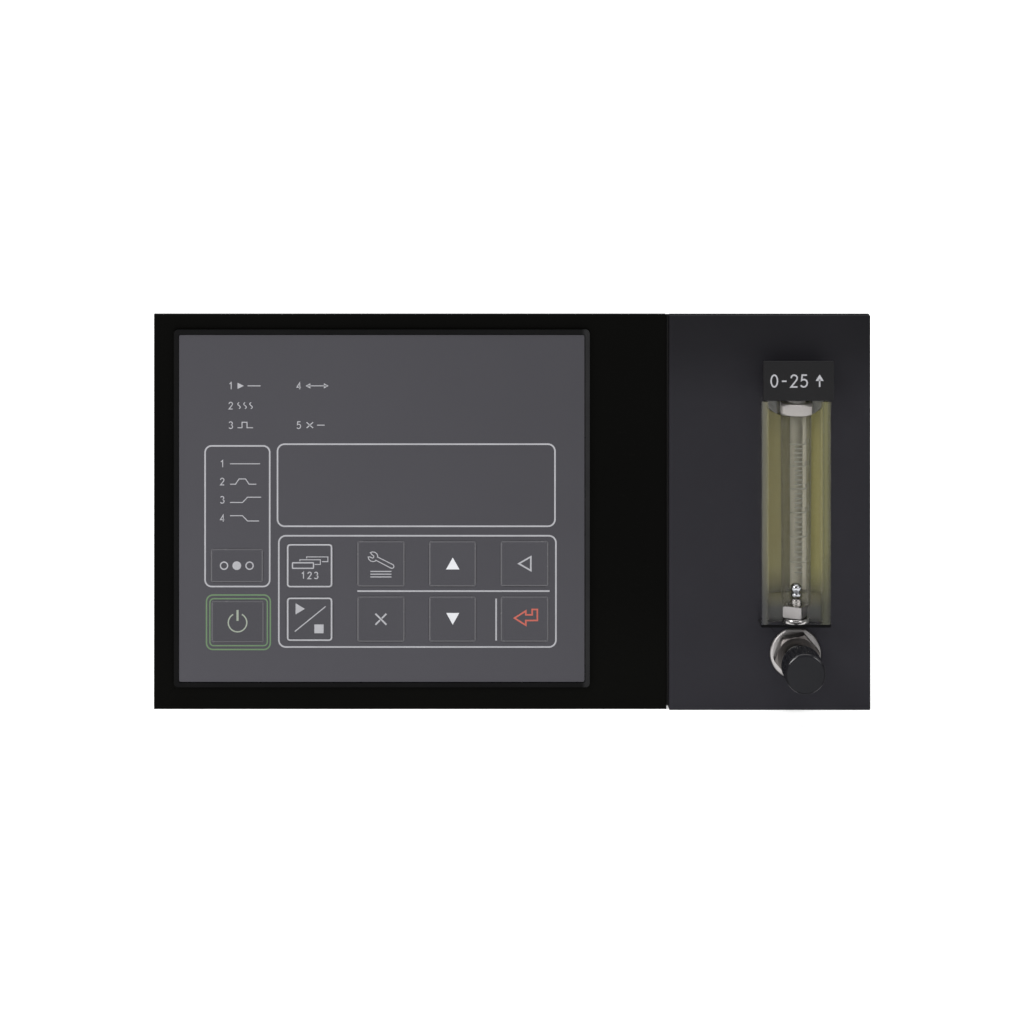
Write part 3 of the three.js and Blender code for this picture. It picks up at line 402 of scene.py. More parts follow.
# Black of the strip under the meter cover: it stands in for the shadow line under the cover's bottom edge.
M["foot_black"] = surface("foot_seal", (0.0022, 0.0022, 0.0024), 0.7, spec=0.05, bump=0.3)
M["hose_blue"] = surface("hose_blue", (0.05, 0.13, 0.27), 0.32, spec=0.5, vary=0.06, vary_scale=40, bump=0.1)
M["relay_blue"] = surface("relay_blue", (0.015, 0.05, 0.17), 0.4, spec=0.45, vary=0.06, bump=0.3, bump_scale=900)
M["core_steel"] = surface(
    "core_steel", (0.12, 0.115, 0.11), 0.5, metallic=0.5, vary=0.15, vary_scale=30, bump=0.8, bump_scale=60, bump_mm=0.4, stretch=(0.2, 16, 0.2)
)
M["screw_steel"] = surface(
    "screw_steel", (0.62, 0.62, 0.60), 0.27, metallic=1.0, vary=0.06, vary_scale=120, rough_vary=0.08, bump=0.12, bump_scale=1400, bump_mm=0.02
)
M["brass"] = surface("contact_brass", (0.72, 0.52, 0.20), 0.28, metallic=1.0, vary=0.06, vary_scale=90, bump=0.1, bump_scale=1200, bump_mm=0.02)
M["wire_sleeve"] = surface("wire_sleeve", (0.012, 0.012, 0.013), 0.7, spec=0.3, vary=0.2, vary_scale=200, bump=0.8, bump_scale=700, bump_mm=0.3, sheen=0.2)
M["ribbon_grey"] = surface("ribbon_grey", (0.28, 0.285, 0.30), 0.55, spec=0.3, vary=0.25, vary_scale=60, bump=0.7, bump_scale=80, bump_mm=0.4, stretch=(12, 0.05, 0.05))
M["print_white"] = surface("print_white", (0.232, 0.232, 0.245), 0.5, spec=0.2, vary=0.05, vary_scale=120, rough_vary=0.04, bump=0.1, bump_scale=2500, bump_mm=0.01)
M["print_bright"] = surface("print_bright", (0.41, 0.415, 0.43), 0.5, spec=0.2, vary=0.03, vary_scale=120, rough_vary=0.04, bump=0.1, bump_scale=2500, bump_mm=0.01)
M["print_green"] = surface("print_green", (0.076, 0.138, 0.074), 0.5, spec=0.2, vary=0.10, vary_scale=35, color2=(0.082, 0.118, 0.062), rough_vary=0.04, bump=0.1, bump_scale=2500, bump_mm=0.01)
M["print_sage"] = surface("print_sage", (0.185, 0.208, 0.172), 0.5, spec=0.2, vary=0.05, vary_scale=120, rough_vary=0.04, bump=0.1, bump_scale=2500, bump_mm=0.01)
M["print_red"] = surface("print_red", (0.29, 0.070, 0.052), 0.5, spec=0.2, vary=0.05, vary_scale=120, rough_vary=0.04, bump=0.1, bump_scale=2500, bump_mm=0.01)
M["print_ink"] = surface("scale_ink", (0.10, 0.10, 0.085), 0.5, spec=0.2, vary=0.1, vary_scale=150)
# Painted shade across the scale stripe: lightest left of its middle, darker towards its right edge.
M["stripe"] = painted_shade_along(
    surface("tube_stripe", (0.412, 0.393, 0.312), 0.45, spec=0.2, vary=0.04, vary_scale=60, stretch=(1, 1, 0.3)),
    "X",
    [(0.0, 0.92), (0.15, 1.1), (0.45, 0.98), (0.75, 0.71), (1.0, 0.56)],
)
# Painted shade on the olive backing: lighter on its right part, as the lit side of the trough, darker and bluer towards
# its bottom where shadow falls, slightly darker at its top.
painted_shade_along(M["olive"], "X", [(0.0, 0.84), (0.2, 0.88), (0.38, 0.78), (0.55, (0.9, 0.9, 0.85)), (0.66, (1.08, 1.09, 0.96)), (0.8, (1.1, 1.12, 0.96)), (0.9, (1.05, 1.06, 0.9)), (1.0, 0.92)])
painted_shade_along(M["olive"], "Z", [(0.0, (0.5, 0.52, 0.85)), (0.06, (0.84, 0.87, 1.1)), (0.14, (1.06, 1.08, 1.14)), (0.3, 1.0), (0.8, 1.0), (1.0, (0.88, 0.89, 0.92))])
# Painted highlights on the knob's rim: two bright arcs on its upper left and upper right, fixed to the knob, so they
# turn with it.
painted_edge_highlight(
    M["knob_rim_painted_highlight"],
    [(0.0, 0.1), (0.07, 0.12), (0.12, 0.9), (0.27, 0.9), (0.32, 0.12), (0.68, 0.12), (0.73, 0.8), (0.86, 0.8), (0.91, 0.12), (1.0, 0.1)],
    [(0.0, 0.1), (0.7, 0.12), (0.76, 1.0), (1.0, 1.0)],
)
# Painted reflection on the lower nut: its right flank is painted about twice as light.
painted_shade_along(M["nut_low"], "X", [(0.0, 1.12), (0.72, 1.12), (0.78, 2.3), (1.0, 2.4)])
# Painted reflection on the trim ring: darker towards its right, down to 0.4 at its right edge.
painted_shade_along(M["ring_chrome"], "X", [(0.0, 1.0), (0.2, 1.0), (0.42, 0.62), (0.76, 0.6), (0.9, 0.44), (1.0, 0.4)])
# Painted reflection on the hex nut: lightest just left of its middle, darker towards its right.
painted_shade_along(M["dark_chrome"], "X", [(0.0, 0.8), (0.25, 0.84), (0.42, 1.0), (0.58, 0.95), (0.72, 0.48), (1.0, 0.42)])
# Painted reflection and shade on the lower block: its top zone is painted lighter and olive, as the backing's light
# shows there, and its left is a little darker.
painted_shade_along(M["block_low_painted_light"], "Z", [(0.0, 1.0), (0.8, 1.08), (0.87, (1.35, 1.3, 1.05)), (0.94, (1.62, 1.52, 1.02)), (1.0, (1.7, 1.6, 1.0))])
painted_shade_along(M["block_low_painted_light"], "X", [(0.0, 0.95), (0.35, 0.93), (0.65, 1.06), (1.0, 1.06)])
# Painted highlight: the bezel's right lip is painted over four times lighter.
painted_shade_along(M["bezel_black"], "X", [(0.0, 1.0), (0.982, 1.0), (0.989, 4.2), (1.0, 4.2)])
# Painted shadow: the strip stays black only along its front edge and is painted up to the panel's tone further back, so
# its sides don't show.
painted_shade_along(M["foot_black"], "Y", [(0.0, 1.0), (0.08, 1.0), (0.16, 5.5), (1.0, 5.5)])
# Painted shade on the grey panel: lighter towards its bottom, as from light off the floor, much darker at its top.
painted_shade_along(M["grey_paint"], "Z", [(0.0, 1.22), (0.15, 1.1), (0.5, 1.0), (0.78, 0.9), (0.92, 0.52), (1.0, 0.42)])
# Painted light on the black plate: lighter towards its bottom, as from light off the floor.
painted_shade_along(M["black_plate"], "Z", [(0.0, 1.5), (0.12, 1.3), (0.3, 0.95), (0.6, 0.9), (1.0, 1.0)])
# Painted shade on the film: lighter towards its bottom, darker towards its right.
painted_shade_along(M["film_grey"], "Z", [(0.0, 1.3), (0.1, 1.24), (0.5, 1.11), (1.0, 1.03)])
painted_shade_along(M["film_grey"], "X", [(0.0, 1.02), (0.5, 0.965), (1.0, 0.87)])
# Painted shade on the grey panel: a little darker at its right edge.
painted_shade_along(M["grey_paint"], "X", [(0.0, 0.97), (0.5, 1.0), (0.8, 1.0), (1.0, 0.86)])
M["cover_clear"] = wall_tint(
    clear_material("cover_clear", (0.079, 0.077, 0.050), 0.02, 0.97, 0.05, 1.5, spec=0.3),
    [(0.0, 0.5), (0.012, 0.75), (0.032, 0.92), (0.07, 0.92), (0.11, 0.0), (0.83, 0.0), (0.9, 0.85), (0.945, 0.85), (1.0, 0.3)],
    0.06,
    0.03,
)
# Painted shade on the clear cover: darker and bluer towards its bottom and its left wall, less blue towards its right
# wall.
painted_shade_along(M["cover_clear"], "X", [(0.0, (0.58, 0.58, 0.74)), (0.04, (0.71, 0.70, 0.74)), (0.1, (0.98, 0.94, 0.80)), (0.86, (1.08, 1.06, 0.66)), (0.9, (0.94, 0.93, 0.56)), (1.0, (0.85, 0.84, 0.62))])
painted_shade_along(M["cover_clear"], "Z", [(0.0, (0.35, 0.37, 0.53)), (0.08, (0.37, 0.385, 0.53)), (0.24, 0.83), (0.34, 1.0), (1.0, 1.0)])
M["tube_glass"] = clear_material("tube_glass", (0.095, 0.090, 0.072), 0.02, 0.85, 0.03, 1.15, spec=0.7)
M["tube_bore"] = clear_material("tube_bore", (0.075, 0.072, 0.058), 0.01, 0.14, 0.04, 1.6, spec=0.4)


def board_material():
    m = surface("board_green", (0.008, 0.075, 0.03), 0.35, spec=0.5, vary=0.1, vary_scale=20)
    nt = m.node_tree
    b = node_of(m, "ShaderNodeBsdfPrincipled")
    base = b.inputs["Base Color"].links[0].from_socket
    tc = node_of(m, "ShaderNodeTexCoord")
    v = nt.nodes.new("ShaderNodeTexVoronoi")
    v.feature = "DISTANCE_TO_EDGE"
    v.inputs["Scale"].default_value = 130
    nt.links.new(tc.outputs["Object"], v.inputs["Vector"])
    mr = nt.nodes.new("ShaderNodeMapRange")
    mr.inputs["From Min"].default_value = 0.03
    mr.inputs["From Max"].default_value = 0.05
    mr.inputs["To Min"].default_value = 0.8
    mr.inputs["To Max"].default_value = 0.0
    nt.links.new(v.outputs["Distance"], mr.inputs["Value"])
    mix = nt.nodes.new("ShaderNodeMix")
    mix.data_type = "RGBA"
    mix.inputs[7].default_value = (0.03, 0.16, 0.06, 1)
    nt.links.new(mr.outputs[0], mix.inputs[0])
    nt.links.new(base, mix.inputs[6])
    nt.links.new(mix.outputs[2], b.inputs["Base Color"])
    return m


M["board_green"] = board_material()


# ------------------------------------------------------------------ mesh helpers
def finish_mesh(bm, name, material, body="panel", smooth=35.0, replaces=(), bevel=0.0, segs=2):
    """Turns a bmesh in millimetres into a riding piece."""
    bmesh.ops.remove_doubles(bm, verts=bm.verts, dist=1e-4)
    me = bpy.data.meshes.new(name)
    bm.to_mesh(me)
    bm.free()
    me.transform(Matrix.Scale(MM, 4))
    ob = bpy.data.objects.new(name, me)
    bpy.context.scene.collection.objects.link(ob)
    mats = material if isinstance(material, (list, tuple)) else [material]
    for m in mats:
        me.materials.append(m)
    if smooth:
        me.shade_smooth()
        me.set_sharp_from_angle(angle=math.radians(smooth))
    if bevel:
        md = ob.modifiers.new("bevel", "BEVEL")
        md.width = bevel * MM
        md.segments = segs
        md.limit_method = "ANGLE"
        md.angle_limit = math.radians(30)
        md.harden_normals = True
    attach(ob, body)
    if replaces:
        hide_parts(*replaces)
    return ob


def loft(bm, loops, cap_start=True, cap_end=True, closed=False, mat=0):
    """Joins equal loops of (x, y, z) into a skin."""
    rings = [[bm.verts.new(p) for p in loop] for loop in loops]
    n = len(rings[0])
    pairs = list(zip(rings, rings[1:])) + ([(rings[-1], rings[0])] if closed else [])
    for a, b in pairs:
        for i in range(n):
            f = bm.faces.new((a[i], a[(i + 1) % n], b[(i + 1) % n], b[i]))
            f.material_index = mat
    if cap_start and not closed:
        bm.faces.new(list(reversed(rings[0]))).material_index = mat
    if cap_end and not closed:
        bm.faces.new(rings[-1]).material_index = mat
    return rings


def rrect(cx, cz, w, h, r, seg=5):
    """Rounded rectangle outline in X-Z, seen from the front, anticlockwise."""
    r = max(0.01, min(r, w / 2 - 0.01, h / 2 - 0.01))
    pts = []
    for qx, qz, a0 in ((1, -1, -90), (1, 1, 0), (-1, 1, 90), (-1, -1, 180)):
        ox = cx + qx * (w / 2 - r)
        oz = cz + qz * (h / 2 - r)
        for i in range(seg + 1):
            a = math.radians(a0 + 90 * i / seg)
            pts.append((ox + r * math.cos(a), oz + r * math.sin(a)))
    return pts


def axis_map(axis, c):
    """Local (u, v, h) to world for a turned piece whose height runs along axis from centre c."""
    cx, cy, cz = c
    if axis == "z":
        return lambda u, v, h: (cx + u, cy + v, cz + h)
    if axis == "y-":
        return lambda u, v, h: (cx + u, cy - h, cz + v)
    if axis == "y":
        return lambda u, v, h: (cx + u, cy + h, cz - v)
    if axis == "x":
        return lambda u, v, h: (cx + h, cy + u, cz + v)
    return lambda u, v, h: (cx - h, cy - u, cz + v)


def lathe(bm, profile, axis, c, segs=64, phase=0.0, mat=0, shape=None):
    """Turns [(radius, height)] about an axis. shape(angle, radius, height) may change the radius."""
    f = axis_map(axis, c)
    loops = []
    for r, h in profile:
        ring = []
        for i in range(segs):
            a = 2 * math.pi * i / segs + phase
            rr = shape(a, r, h) if shape else r
            ring.append(f(rr * math.cos(a), rr * math.sin(a), h))
        loops.append(ring)
    closed = profile[0][0] > 1e-6 and profile[-1][0] > 1e-6
    rings = []
    for (r, h), loop in zip(profile, loops):
        if r <= 1e-6:
            rings.append([bm.verts.new(loop[0])])
        else:
            rings.append([bm.verts.new(p) for p in loop])
    pairs = list(zip(rings, rings[1:])) + ([(rings[-1], rings[0])] if closed else [])
    for a, b in pairs:
        if len(a) == 1 and len(b) == 1:
            continue
        for i in range(segs):
            j = (i + 1) % segs
            if len(a) == 1:
                face = (a[0], b[j], b[i])
            elif len(b) == 1:
                face = (a[i], a[j], b[0])
            else:
                face = (a[i], a[j], b[j], b[i])
            bm.faces.new(face).material_index = mat


def block(bm, x0, x1, y0, y1, z0, z1, mat=0):
    loft(
        bm,
        [
            [(x0, y0, z0), (x1, y0, z0), (x1, y1, z0), (x0, y1, z0)],
            [(x0, y0, z1), (x1, y0, z1), (x1, y1, z1), (x0, y1, z1)],
        ],
        mat=mat,
    )


def tidy(bm):
    bmesh.ops.remove_doubles(bm, verts=bm.verts, dist=1e-4)
    bmesh.ops.recalc_face_normals(bm, faces=bm.faces)


# ------------------------------------------------------------------ flat print
def ribbon(bm, pts, width, place, closed=False, mat=0):
    """A printed line of even width along pts in (x, z); place(x, z) gives the point in space."""
    n = len(pts)
    left, right = [], []
    for i in range(n):
        p = Vector(pts[i])
        a = Vector(pts[(i - 1) % n]) if (closed or i > 0) else None
        b = Vector(pts[(i + 1) % n]) if (closed or i < n - 1) else None
        d1 = (p - a).normalized() if a is not None else None
        d2 = (b - p).normalized() if b is not None else None
        if d1 is None:
            d1 = d2
        if d2 is None:
            d2 = d1
        n1 = Vector((-d1.y, d1.x))
        n2 = Vector((-d2.y, d2.x))
        m = n1 + n2
        if m.length < 1e-6:
            m = n1.copy()
        m.normalize()
        k = (width / 2) / max(0.35, m.dot(n1))
        left.append(bm.verts.new(place(*(p + m * k))))
        right.append(bm.verts.new(place(*(p - m * k))))
    for i in range(n if closed else n - 1):
        j = (i + 1) % n
        f = bm.faces.new((right[i], right[j], left[j], left[i]))
        f.material_index = mat


def patch(bm, pts, place, mat=0):
    f = bm.faces.new([bm.verts.new(place(*p)) for p in pts])
    f.material_index = mat


def oval(cx, cz, rx, rz, n=20, a0=0.0, a1=360.0):
    full = abs(a1 - a0) >= 360
    k = n if full else n + 1
    return [
        (
            cx + rx * math.cos(math.radians(a0 + (a1 - a0) * i / n)),
            cz + rz * math.sin(math.radians(a0 + (a1 - a0) * i / n)),
        )
        for i in range(k)
    ]


DIGITS = {
    "0": [("c", oval(0.3, 0.5, 0.27, 0.5, 18))],
    "1": [("o", [(0.12, 0.78), (0.36, 1.0), (0.36, 0.0)])],
    "2": [("o", [(0.04, 0.74), (0.08, 0.9), (0.2, 0.985), (0.32, 1.0), (0.46, 0.95), (0.55, 0.82), (0.54, 0.66), (0.44, 0.5), (0.04, 0.0), (0.58, 0.0)])],
    "3": [
        ("o", [(0.05, 0.85), (0.16, 0.97), (0.3, 1.0), (0.46, 0.94), (0.53, 0.8), (0.5, 0.64), (0.38, 0.55), (0.24, 0.53)]),
        ("o", [(0.24, 0.53), (0.42, 0.5), (0.55, 0.38), (0.57, 0.22), (0.48, 0.06), (0.3, 0.0), (0.14, 0.03), (0.03, 0.14)]),
    ],
    "4": [("o", [(0.44, 0.0), (0.44, 1.0), (0.02, 0.3), (0.6, 0.3)])],
    "5": [("o", [(0.54, 1.0), (0.14, 1.0), (0.09, 0.56), (0.2, 0.62), (0.34, 0.63), (0.5, 0.54), (0.57, 0.36), (0.53, 0.16), (0.4, 0.03), (0.24, 0.0), (0.1, 0.05), (0.02, 0.14)])],
    "6": [("o", [(0.5, 0.9), (0.38, 1.0), (0.26, 0.99), (0.12, 0.86), (0.04, 0.62), (0.03, 0.34), (0.1, 0.12), (0.26, 0.0), (0.4, 0.02), (0.54, 0.14), (0.57, 0.32), (0.52, 0.5), (0.38, 0.6), (0.22, 0.58), (0.08, 0.46)])],
    "7": [("o", [(0.02, 1.0), (0.58, 1.0), (0.24, 0.0)])],
    "8": [("c", oval(0.3, 0.765, 0.22, 0.235, 14)), ("c", oval(0.3, 0.265, 0.27, 0.265, 16))],
    "9": [("o", [(0.1, 0.1), (0.22, 0.0), (0.34, 0.01), (0.48, 0.14), (0.56, 0.38), (0.57, 0.66), (0.5, 0.88), (0.34, 1.0), (0.2, 0.98), (0.06, 0.86), (0.03, 0.68), (0.08, 0.5), (0.22, 0.4), (0.38, 0.42), (0.52, 0.54)])],
    "-": [("o", [(0.1, 0.48), (0.5, 0.48)])],
}


def number(bm, text, x, z, cap, width, place, mat=0, centre=True, pitch=0.78):
    """Plain numerals with their foot on z."""
    total = (len(text) - 1) * pitch * cap + 0.6 * cap
    x0 = x - total / 2 if centre else x
    for i, ch in enumerate(text):
        for kind, pts in DIGITS[ch]:
            ribbon(
                bm,
                [(x0 + i * pitch * cap + px * cap, z + pz * cap) for px, pz in pts],
                width,
                place,
                closed=kind == "c",
                mat=mat,
            )


def flat(y):
    return lambda x, z: (x, y, z)


def print_piece(bm, name, material, body):
    ob = finish_mesh(bm, name, material, body=body, smooth=0)
    return ob


# ------------------------------------------------------------------ the ten keys
def key_mesh(name):
    cx, cz, w, h = KEYS[name]
    prof = [
        (0.22, -46.95, 1.0),
        (0.24, -47.45, 1.1),
        (0.22, -47.60, 1.1),
        (0.10, -47.68, 1.1),
        (-0.15, -47.76, 1.1),
        (-0.42, -47.90, 1.2),
        (-0.66, -47.975, 1.25),
        (-0.92, -48.0, 1.3),
        (-1.2, -47.985, 1.4),
        (-1.55, -47.95, 1.5),
        (-2.1, -47.93, 1.6),
        (-4.0, -47.94, 1.8),
    ]
    bm = bmesh.new()
    loops = []
    for grow, y, r in prof:
        loops.append([(x, y, z) for x, z in rrect(cx, cz, w + 2 * grow, h + 2 * grow, r, 6)])
    loft(bm, loops, cap_start=True, cap_end=True)
    # hidden rim and post of the key
    rim = [
        [(x, -46.9, z) for x, z in rrect(cx, cz, w + 1.8, h + 1.8, 1.2, 6)],
        [(x, -46.2, z) for x, z in rrect(cx, cz, w + 1.8, h + 1.8, 1.2, 6)],
    ]
    loft(bm, rim)
    lathe(bm, [(0, 0), (1.7, 0), (1.9, 0.3), (1.9, 3.4), (0, 3.4)], "y-", (cx, -42.9, cz), 24)
    tidy(bm)
    # faces along the key's edge take the lighter copy, a painted highlight outline
    for face in bm.faces:
        c = face.calc_center_median()
        edge = max(abs(c.x - cx) - w / 2, abs(c.z - cz) - h / 2)
        if -0.4 < edge < 0.14 and -48.0 < c.y < -47.62:
            face.material_index = 1
    return finish_mesh(
        bm, name + "_cap", [M["key_grey"], M["key_rim_painted_highlight"]], body=name + "_body", smooth=50, replaces=(name,)
    )


for k in KEYS:
    key_mesh(k)

W = 0.62  # printed line
PY = KEY_Y - 0.012


def on_key(name, scale_y=0.0):
    cx, cz, w, h = KEYS[name]

    def place(x, z):
        # print follows the shallow dish of the key's face
        ex = min(w / 2 - abs(x), h / 2 - abs(z))
        y = -47.955 if ex > 1.9 else -48.012
        return (cx + x, y - 0.012, cz + z)

    return place


def key_print(name, build, material="print_white"):
    bm = bmesh.new()
    build(bm, on_key(name))
    print_piece(bm, name + "_mark", M[material], name + "_body")


def mark_mode(bm, p):
    ribbon(bm, oval(-5.1, 0, 1.45, 1.45, 20), 0.5, p, closed=True)
    patch(bm, oval(0, 0, 1.75, 1.75, 22), p)
    ribbon(bm, oval(5.1, 0, 1.45, 1.45, 20), 0.5, p, closed=True)


def mark_power(bm, p):
    ribbon(bm, oval(0, -0.35, 3.7, 3.7, 30, 118, 422), 0.52, p)
    ribbon(bm, [(0, 4.7), (0, 0.35)], 0.85, p)


def mark_display(bm, p):
    w, h = 17.5, 16.7
    ribbon(bm, rrect(0, 0, w, h, 1.0, 4), W, p, closed=True)
    ribbon(bm, rrect(-2.65, 0.05, 8.4, 2.2, 0.2, 2), 0.5, p, closed=True)
    ribbon(bm, [(-3.9, 1.75), (-3.9, 2.35), (4.3, 2.35), (4.3, 0.5), (2.0, 0.5)], 0.34, p)
    ribbon(bm, [(-1.2, 2.9), (-1.2, 3.5), (7.3, 3.5), (7.3, 1.6), (4.9, 1.6)], 0.34, p)
    number(bm, "123", 0.0, -5.2, 2.6, 0.42, p, pitch=1.0)


def mark_run(bm, p):
    w, h = 17.5, 16.7
    ribbon(bm, rrect(0, 0, w, h, 1.0, 4), W, p, closed=True)
    ribbon(bm, [(-5.9, -4.9), (6.4, 5.1)], 0.42, p)
    patch(bm, [(-5.6, 1.9), (-1.9, 4.15), (-5.6, 6.4)], p)
    patch(bm, [(1.9, -5.6), (5.6, -5.6), (5.6, -2.1), (1.9, -2.1)], p)


def mark_menu(bm, p):
    ang = math.radians(-27)
    ca, sa = math.cos(ang), math.sin(ang)

    def loc(s, t):
        return (0.3 + s * ca - t * sa, 1.1 + s * sa + t * ca)

    pts = [loc(-2.3, 0.72)]
    for a in (35, 65, 95, 125, 150):
        pts.append(loc(-3.9 + 1.95 * math.cos(math.radians(a)), 1.95 * math.sin(math.radians(a))))
    pts += [loc(-4.6, 0.55), loc(-3.7, 0.35), loc(-3.5, -0.2), loc(-3.9, -0.62), loc(-4.9, -0.6)]
    for a in (210, 240, 270, 300, 325):
        pts.append(loc(-3.9 + 1.95 * math.cos(math.radians(a)), 1.95 * math.sin(math.radians(a))))
    pts.append(loc(-2.3, -0.72))
    pts.append(loc(4.6, -0.8))
    for a in (-60, -30, 0, 30, 60):
        pts.append(loc(4.6 + 0.8 * math.cos(math.radians(a)), 0.8 * math.sin(math.radians(a))))
    pts.append(loc(4.6, 0.8))
    ribbon(bm, pts, 0.36, p, closed=True)
    for z in (-3.0, -4.1, -5.2):
        ribbon(bm, [(-4.2, z), (4.2, z)], 0.42, p)


def mark_escape(bm, p):
    ribbon(bm, [(-2.2, 2.2), (2.2, -2.2)], 0.66, p)
    ribbon(bm, [(-2.2, -2.2), (-0.36, -0.36)], 0.66, p)
    ribbon(bm, [(0.36, 0.36), (2.2, 2.2)], 0.66, p)


def mark_up(bm, p):
    patch(bm, [(-2.6, -2.2), (2.8, -2.2), (0.1, 2.5)], p)


def mark_down(bm, p):
    patch(bm, [(-2.5, 2.5), (0.1, -2.2), (2.7, 2.5)], p)


def mark_left(bm, p):
    ribbon(bm, [(-2.3, 0.0), (2.5, -2.75), (2.5, 2.75)], 0.62, p, closed=True)


def mark_enter(bm, p):
    ribbon(
        bm,
        [(-4.0, 0.45), (0.5, 3.3), (0.5, 1.75), (3.05, 1.75), (3.05, 3.9), (5.1, 3.9), (5.1, -0.5), (0.5, -0.5), (0.5, -2.4)],
        0.62,
        p,
        closed=True,
    )


key_print("key_mode", mark_mode)
key_print("key_power", mark_power, "print_sage")
key_print("key_display", mark_display)
key_print("key_run", mark_run)
key_print("key_menu", mark_menu)
key_print("key_escape", mark_escape)
key_print("key_up", mark_up, "print_bright")
key_print("key_down", mark_down, "print_bright")
key_print("key_left", mark_left)
key_print("key_enter", mark_enter, "print_red")

# ------------------------------------------------------------------ print on the film
FP = flat(FILM_Y - 0.012)
bm = bmesh.new()


def frame_line(x0, x1, z0, z1, r, width=W):
    ribbon(bm, rrect((x0 + x1) / 2, (z0 + z1) / 2, x1 - x0, z1 - z0, r, 8), width, FP, closed=True)


frame_line(-122.76, -96.94, 49.51, 105.70, 2.6)
frame_line(-93.82, 17.07, 73.59, 106.39, 2.8)
frame_line(-93.30, 17.45, 25.33, 69.79, 2.8)
ribbon(bm, [(-61.9, 47.67), (14.9, 47.67)], W, FP)
ribbon(bm, [(-6.45, 27.9), (-6.45, 44.7)], W, FP)
C = 2.7


def lamp(bm, x, z):
    ribbon(bm, rrect(x + 1.7, z + C / 2, 3.2, 2.1, 0.5, 3), 0.3, FP, closed=True)


# five state lamps: a plain numeral and a plain sign
for i, (x, z) in enumerate([(-113.4, 128.35), (-113.4, 120.45), (-113.4, 112.65), (-86.2, 128.35), (-86.2, 112.65)]):
    number(bm, str(i + 1), x + 0.9, z, C, 0.36, FP)
    sx = x + 3.6
    if i == 0:
        patch(bm, [(sx, z + 0.1), (sx + 2.5, z + C / 2), (sx, z + C - 0.1)], FP)
        ribbon(bm, [(sx + 4.0, z + C / 2), (sx + 9.2, z + C / 2)], 0.36, FP)
    elif i == 1:
        for k in range(3):
            wave = [(sx + 0.6 + k * 2.4 + 0.55 * math.sin(t * 1.05), z + 0.1 + t * C / 6.4) for t in range(7)]
            ribbon(bm, wave, 0.36, FP)
    elif i == 2:
        ribbon(bm, [(sx, z + 0.3), (sx + 1.8, z + 0.3), (sx + 1.8, z + C - 0.2), (sx + 3.8, z + C - 0.2), (sx + 3.8, z + 0.3), (sx + 6.2, z + 0.3)], 0.36, FP)
    elif i == 3:
        ribbon(bm, [(sx + 0.8, z + C / 2), (sx + 8.4, z + C / 2)], 0.36, FP)
        patch(bm, [(sx, z + C / 2), (sx + 1.9, z + 0.3), (sx + 1.9, z + C - 0.3)], FP)
        patch(bm, [(sx + 9.2, z + C / 2), (sx + 7.3, z + C - 0.3), (sx + 7.3, z + 0.3)], FP)
    else:
        ribbon(bm, [(sx + 0.4, z + 0.2), (sx + 3.0, z + C - 0.2)], 0.42, FP)
        ribbon(bm, [(sx + 0.4, z + C - 0.2), (sx + 3.0, z + 0.2)], 0.42, FP)
        ribbon(bm, [(sx + 4.6, z + C / 2), (sx + 7.6, z + C / 2)], 0.36, FP)
# four programme lamps: numeral and a plain course line
for i, z in enumerate([97.2, 90.1, 82.8, 75.4]):
    x = -116.8
    number(bm, str(i + 1), x + 0.9, z, C, 0.36, FP)
    sx = x + 4.0
    lo, hi = z + 0.3, z + C - 0.3
    if i == 0:
        ribbon(bm, [(sx, z + C / 2), (sx + 12.0, z + C / 2)], 0.36, FP)
    elif i == 1:
        ribbon(bm, [(sx, lo), (sx + 2.2, lo), (sx + 3.6, hi), (sx + 6.2, hi), (sx + 7.6, lo), (sx + 10.5, lo)], 0.36, FP)
    elif i == 2:
        ribbon(bm, [(sx, lo), (sx + 5.0, lo), (sx + 7.0, hi), (sx + 12.4, hi)], 0.36, FP)
    else:
        ribbon(bm, [(sx, hi), (sx + 5.0, hi), (sx + 7.0, lo), (sx + 11.6, lo)], 0.36, FP)
print_piece(bm, "film_print", M["print_white"], "panel")

bm = bmesh.new()
frame_line(-122.20, -96.70, 24.33, 46.11, 2.6, 0.58)
frame_line(-120.84, -97.90, 25.85, 44.63, 1.5, 0.5)
print_piece(bm, "film_print_green", M["print_green"], "panel")

# ------------------------------------------------------------------ clear cover of the meter
bm = bmesh.new()
x0, x1, y0, y1, w = 98.3, 126.1, -58.3, -47.8, 1.5
R = 0.7


def corner(cx, cy, r, a0, a1, n=4):
    return [
        (cx + r * math.cos(math.radians(a0 + (a1 - a0) * i / n)), cy + r * math.sin(math.radians(a0 + (a1 - a0) * i / n)))
        for i in range(n + 1)
    ]


outline = (
    [(x1, y1)]
    + list(reversed(corner(x1 - R, y0 + R, R, -90, 0)))
    + list(reversed(corner(x0 + R, y0 + R, R, 180, 270)))
    + [(x0, y1), (x0 + w, y1)]
    + corner(x0 + w + 0.25, y0 + w + 0.25, 0.25, 180, 270, 2)
    + corner(x1 - w - 0.25, y0 + w + 0.25, 0.25, 270, 360, 2)
    + [(x1 - w, y1)]
)
zs = [36.9, 125.6]
rings = []
for z in zs:
    rings.append([(x, y, z) for x, y in outline])
loft(bm, rings)
tidy(bm)
finish_mesh(
    bm, "meter_cover_clear", M["cover_clear"], smooth=30, replaces=("meter_cover",), bevel=0.12, segs=2
)

# Strip under the clear cover, black along its front: a painted shadow line under the cover's bottom edge.
bm = bmesh.new()
loft(bm, [[(x, y, z) for x, y in outline] for z in (35.8, 36.6)])
tidy(bm)
finish_mesh(bm, "cover_foot_shadow_strip", M["foot_black"], smooth=30, replaces=("cover_foot_seal",), bevel=0.08)

